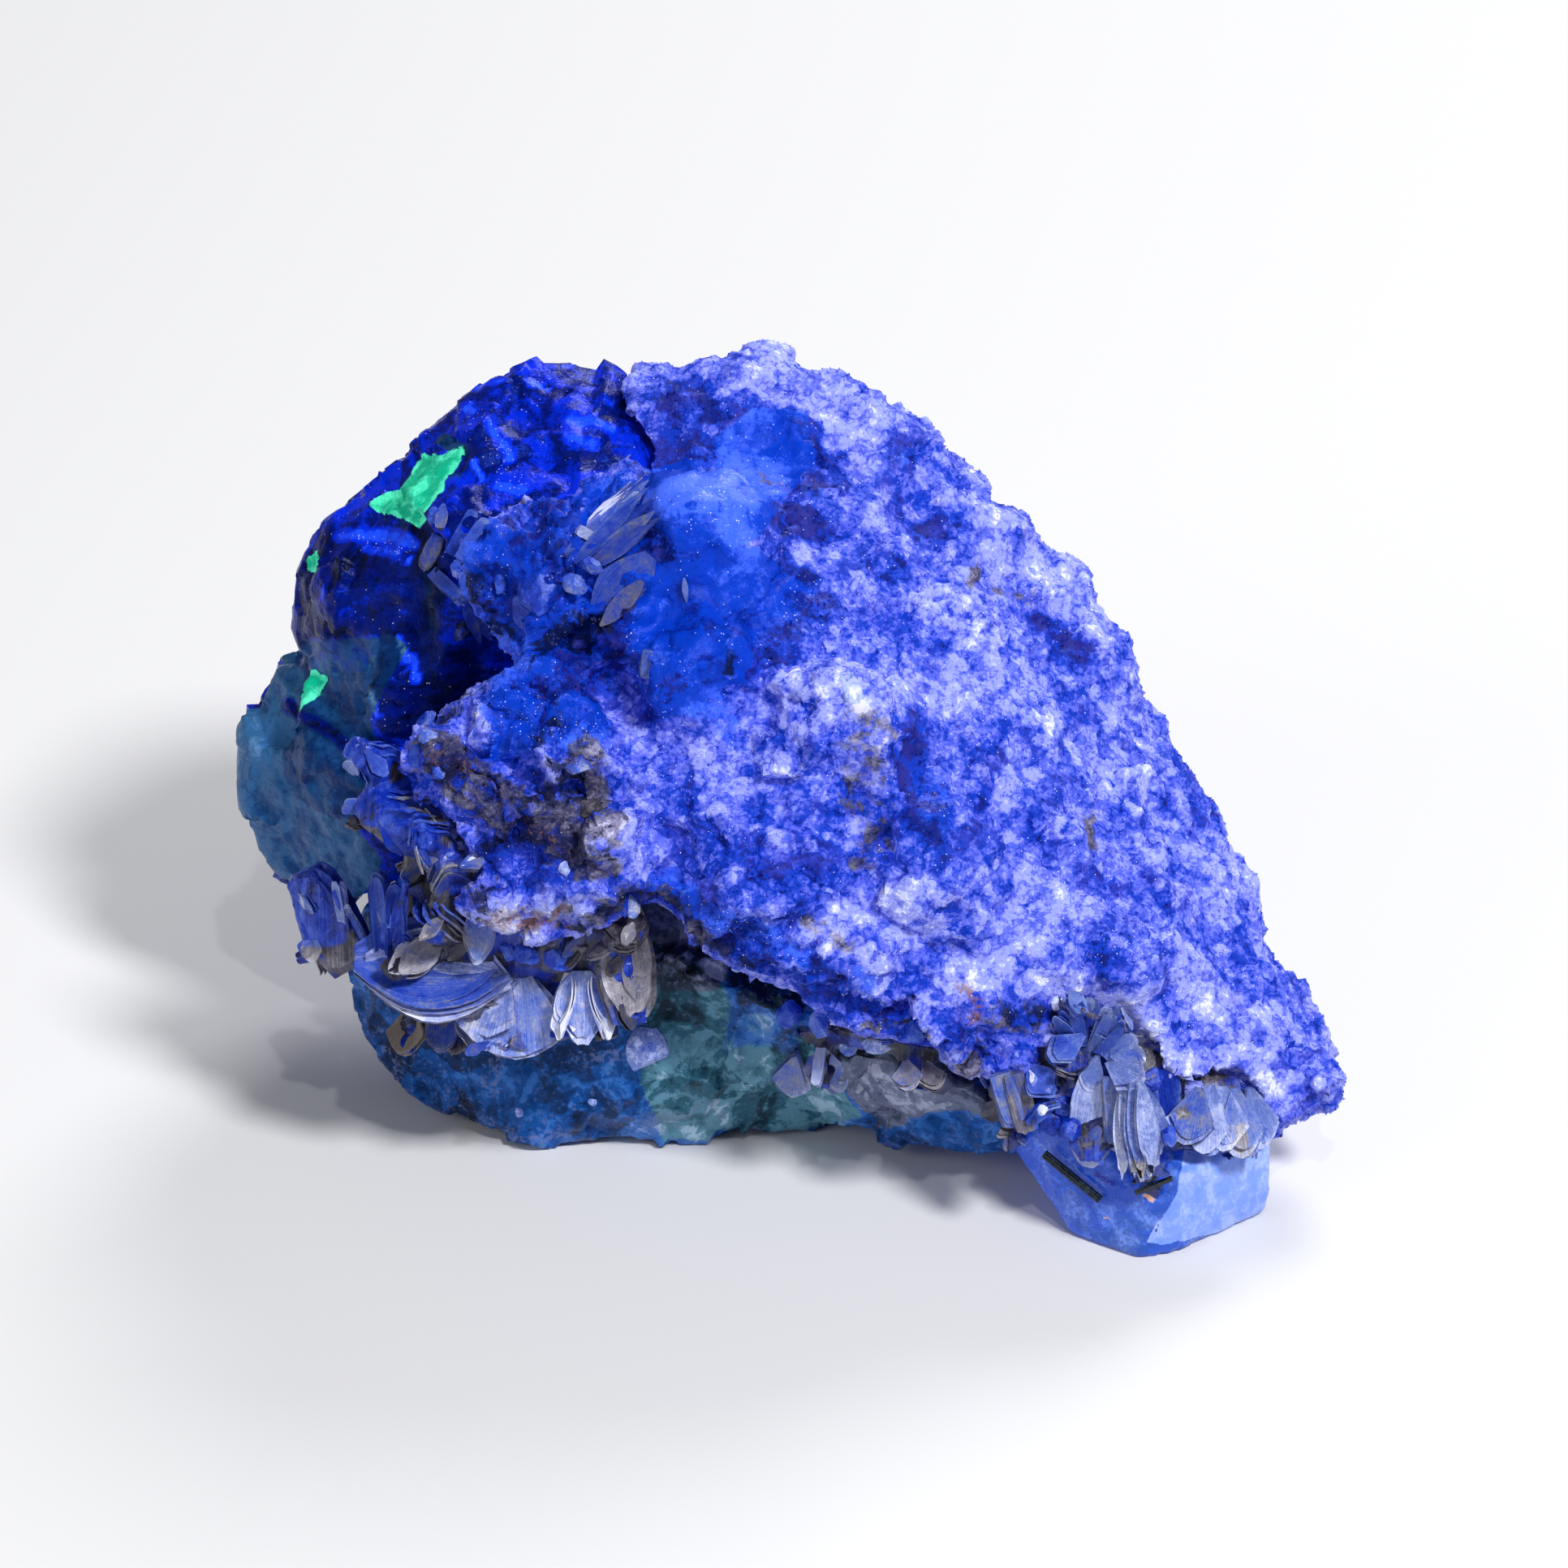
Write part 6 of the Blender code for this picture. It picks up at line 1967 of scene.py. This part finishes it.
@dataclass
class SchorlNeedle:
    """A ribbed black-green needle along its solid."""

    node: str
    material: Material
    ribs: int = 18
    rings: int = 14
    rib_depth: float = 0.08
    slimness: float = 0.8

    def build(self) -> list[Object]:
        """Grow the needle along its solid.

        Returns:
            The piece.
        """
        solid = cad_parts[self.node]
        points = np.array([vert.co for vert in solid.data.vertices])
        middle = points.mean(axis=0)
        axis = np.linalg.svd(points - middle, full_matrices=False)[2][0]
        reach = (points - middle) @ axis
        radius = float(np.median(np.linalg.norm(points - middle - np.outer(reach, axis), axis=1))) * self.slimness
        turn = Vector(axis).to_track_quat("Z", "Y").to_matrix().to_4x4()
        bm = bmesh.new()
        rows = []
        for i in range(self.rings + 1):
            height = float(reach.min() + (reach.max() - reach.min()) * i / self.rings)
            row = []
            for j in range(self.ribs):
                angle = 2 * math.pi * j / self.ribs
                wide = radius * (1 + self.rib_depth * (1 if j % 2 else -1) + 0.06 * noise.noise(Vector((i, j, 3.0))))
                row.append(bm.verts.new((wide * math.cos(angle), wide * math.sin(angle), height)))
            rows.append(row)
        for lower, upper in zip(rows, rows[1:]):
            for j in range(self.ribs):
                k = (j + 1) % self.ribs
                bm.faces.new((lower[j], lower[k], upper[k], upper[j]))
        bm.faces.new(list(reversed(rows[0])))
        bm.faces.new(rows[-1])
        bmesh.ops.transform(bm, matrix=Matrix.Translation(middle) @ turn, verts=bm.verts)
        bmesh.ops.recalc_face_normals(bm, faces=bm.faces)
        mesh = bpy.data.meshes.new(self.node)
        bm.to_mesh(mesh)
        bm.free()
        mesh.materials.append(self.material)
        piece = link(f"{self.node}_ribbed", mesh)
        set_piece(piece, "schorl", self.node)
        return [piece]


# Studio


@dataclass(frozen=True)
class SoftLight:
    """An area light aimed at the specimen, its power in watts."""

    name: str
    place: tuple[float, float, float]
    size: float
    power: float
    colour: Colour = (1.0, 1.0, 1.0)

    def build(self) -> None:
        """Place the light."""
        data = bpy.data.lights.new(self.name, "AREA")
        data.shape = "DISK"
        data.size = self.size
        data.energy = self.power
        data.color = self.colour
        light = bpy.data.objects.new(self.name, data)
        light.location = self.place
        light.rotation_euler = (Vector(VIEW.target) - Vector(self.place)).to_track_quat("-Z", "Y").to_euler()
        bpy.context.scene.collection.objects.link(light)


@dataclass
class Studio:
    """A plain pale floor and soft light."""

    floor_side: float = 6.0
    sky: Colour = (0.80, 0.82, 0.86)
    sky_strength: float = 0.20
    lights: tuple[SoftLight, ...] = (
        SoftLight("key", (0.26, -0.30, 0.50), 0.12, 3.6),
        SoftLight("fill", (-0.45, -0.30, 0.25), 0.35, 0.7),
        SoftLight("rim", (0.15, 0.40, 0.40), 0.25, 1.8),
        SoftLight("sparkle", (0.05, -0.35, 0.60), 0.02, 0.5),
    )

    def build(self) -> None:
        """Make the floor, the sky and the lights."""
        half = self.floor_side / 2
        mesh = bpy.data.meshes.new("floor")
        mesh.from_pydata([(-half, -half, 0), (half, -half, 0), (half, half, 0), (-half, half, 0)], [], [(0, 1, 2, 3)])
        mesh.materials.append(FloorFinish().build())
        link("floor", mesh)
        world = bpy.data.worlds.new("sky")
        world.use_nodes = True
        background = world.node_tree.nodes["Background"]
        background.inputs["Color"].default_value = (*self.sky, 1.0)
        background.inputs["Strength"].default_value = self.sky_strength
        bpy.context.scene.world = world
        for light in self.lights:
            light.build()
        bpy.context.scene.view_settings.view_transform = "Standard"


def main() -> None:
    """Build the specimen and the studio round it."""
    logging.basicConfig(level=logging.INFO, format="%(name)s %(message)s")
    VIEW.place_camera()
    mica, schorl = MicaFinish().build(), SchorlFinish().build()
    builders = [
        FeldsparCrust(),
        LeftFluorite(),
        FluoriteBase(),
        ClearCrystal(),
        MicaBooks("mica_books_left_leaves", "mica_books_left", LEFT_BOOKS, mica, LEFT_SHADES, LEFT_TANS, 70),
        MicaBooks(
            "mica_books_right_leaves", "mica_books_right", RIGHT_BOOKS, mica, RIGHT_SHADES, RIGHT_TANS, 60, 0.4 * MM
        ),
        MicaBooks("saddle_leaves", "", SADDLE_BOOKS, mica),
        CrystalChips("small_crystals", CHIPS),
        SchorlNeedle("schorl_needle_long", schorl),
        SchorlNeedle("schorl_needle_short", schorl),
    ]
    for builder in builders:
        for piece in builder.build():
            log.info("built %s", piece.name)
    Studio().build()


if __name__ == "__main__":
    main()
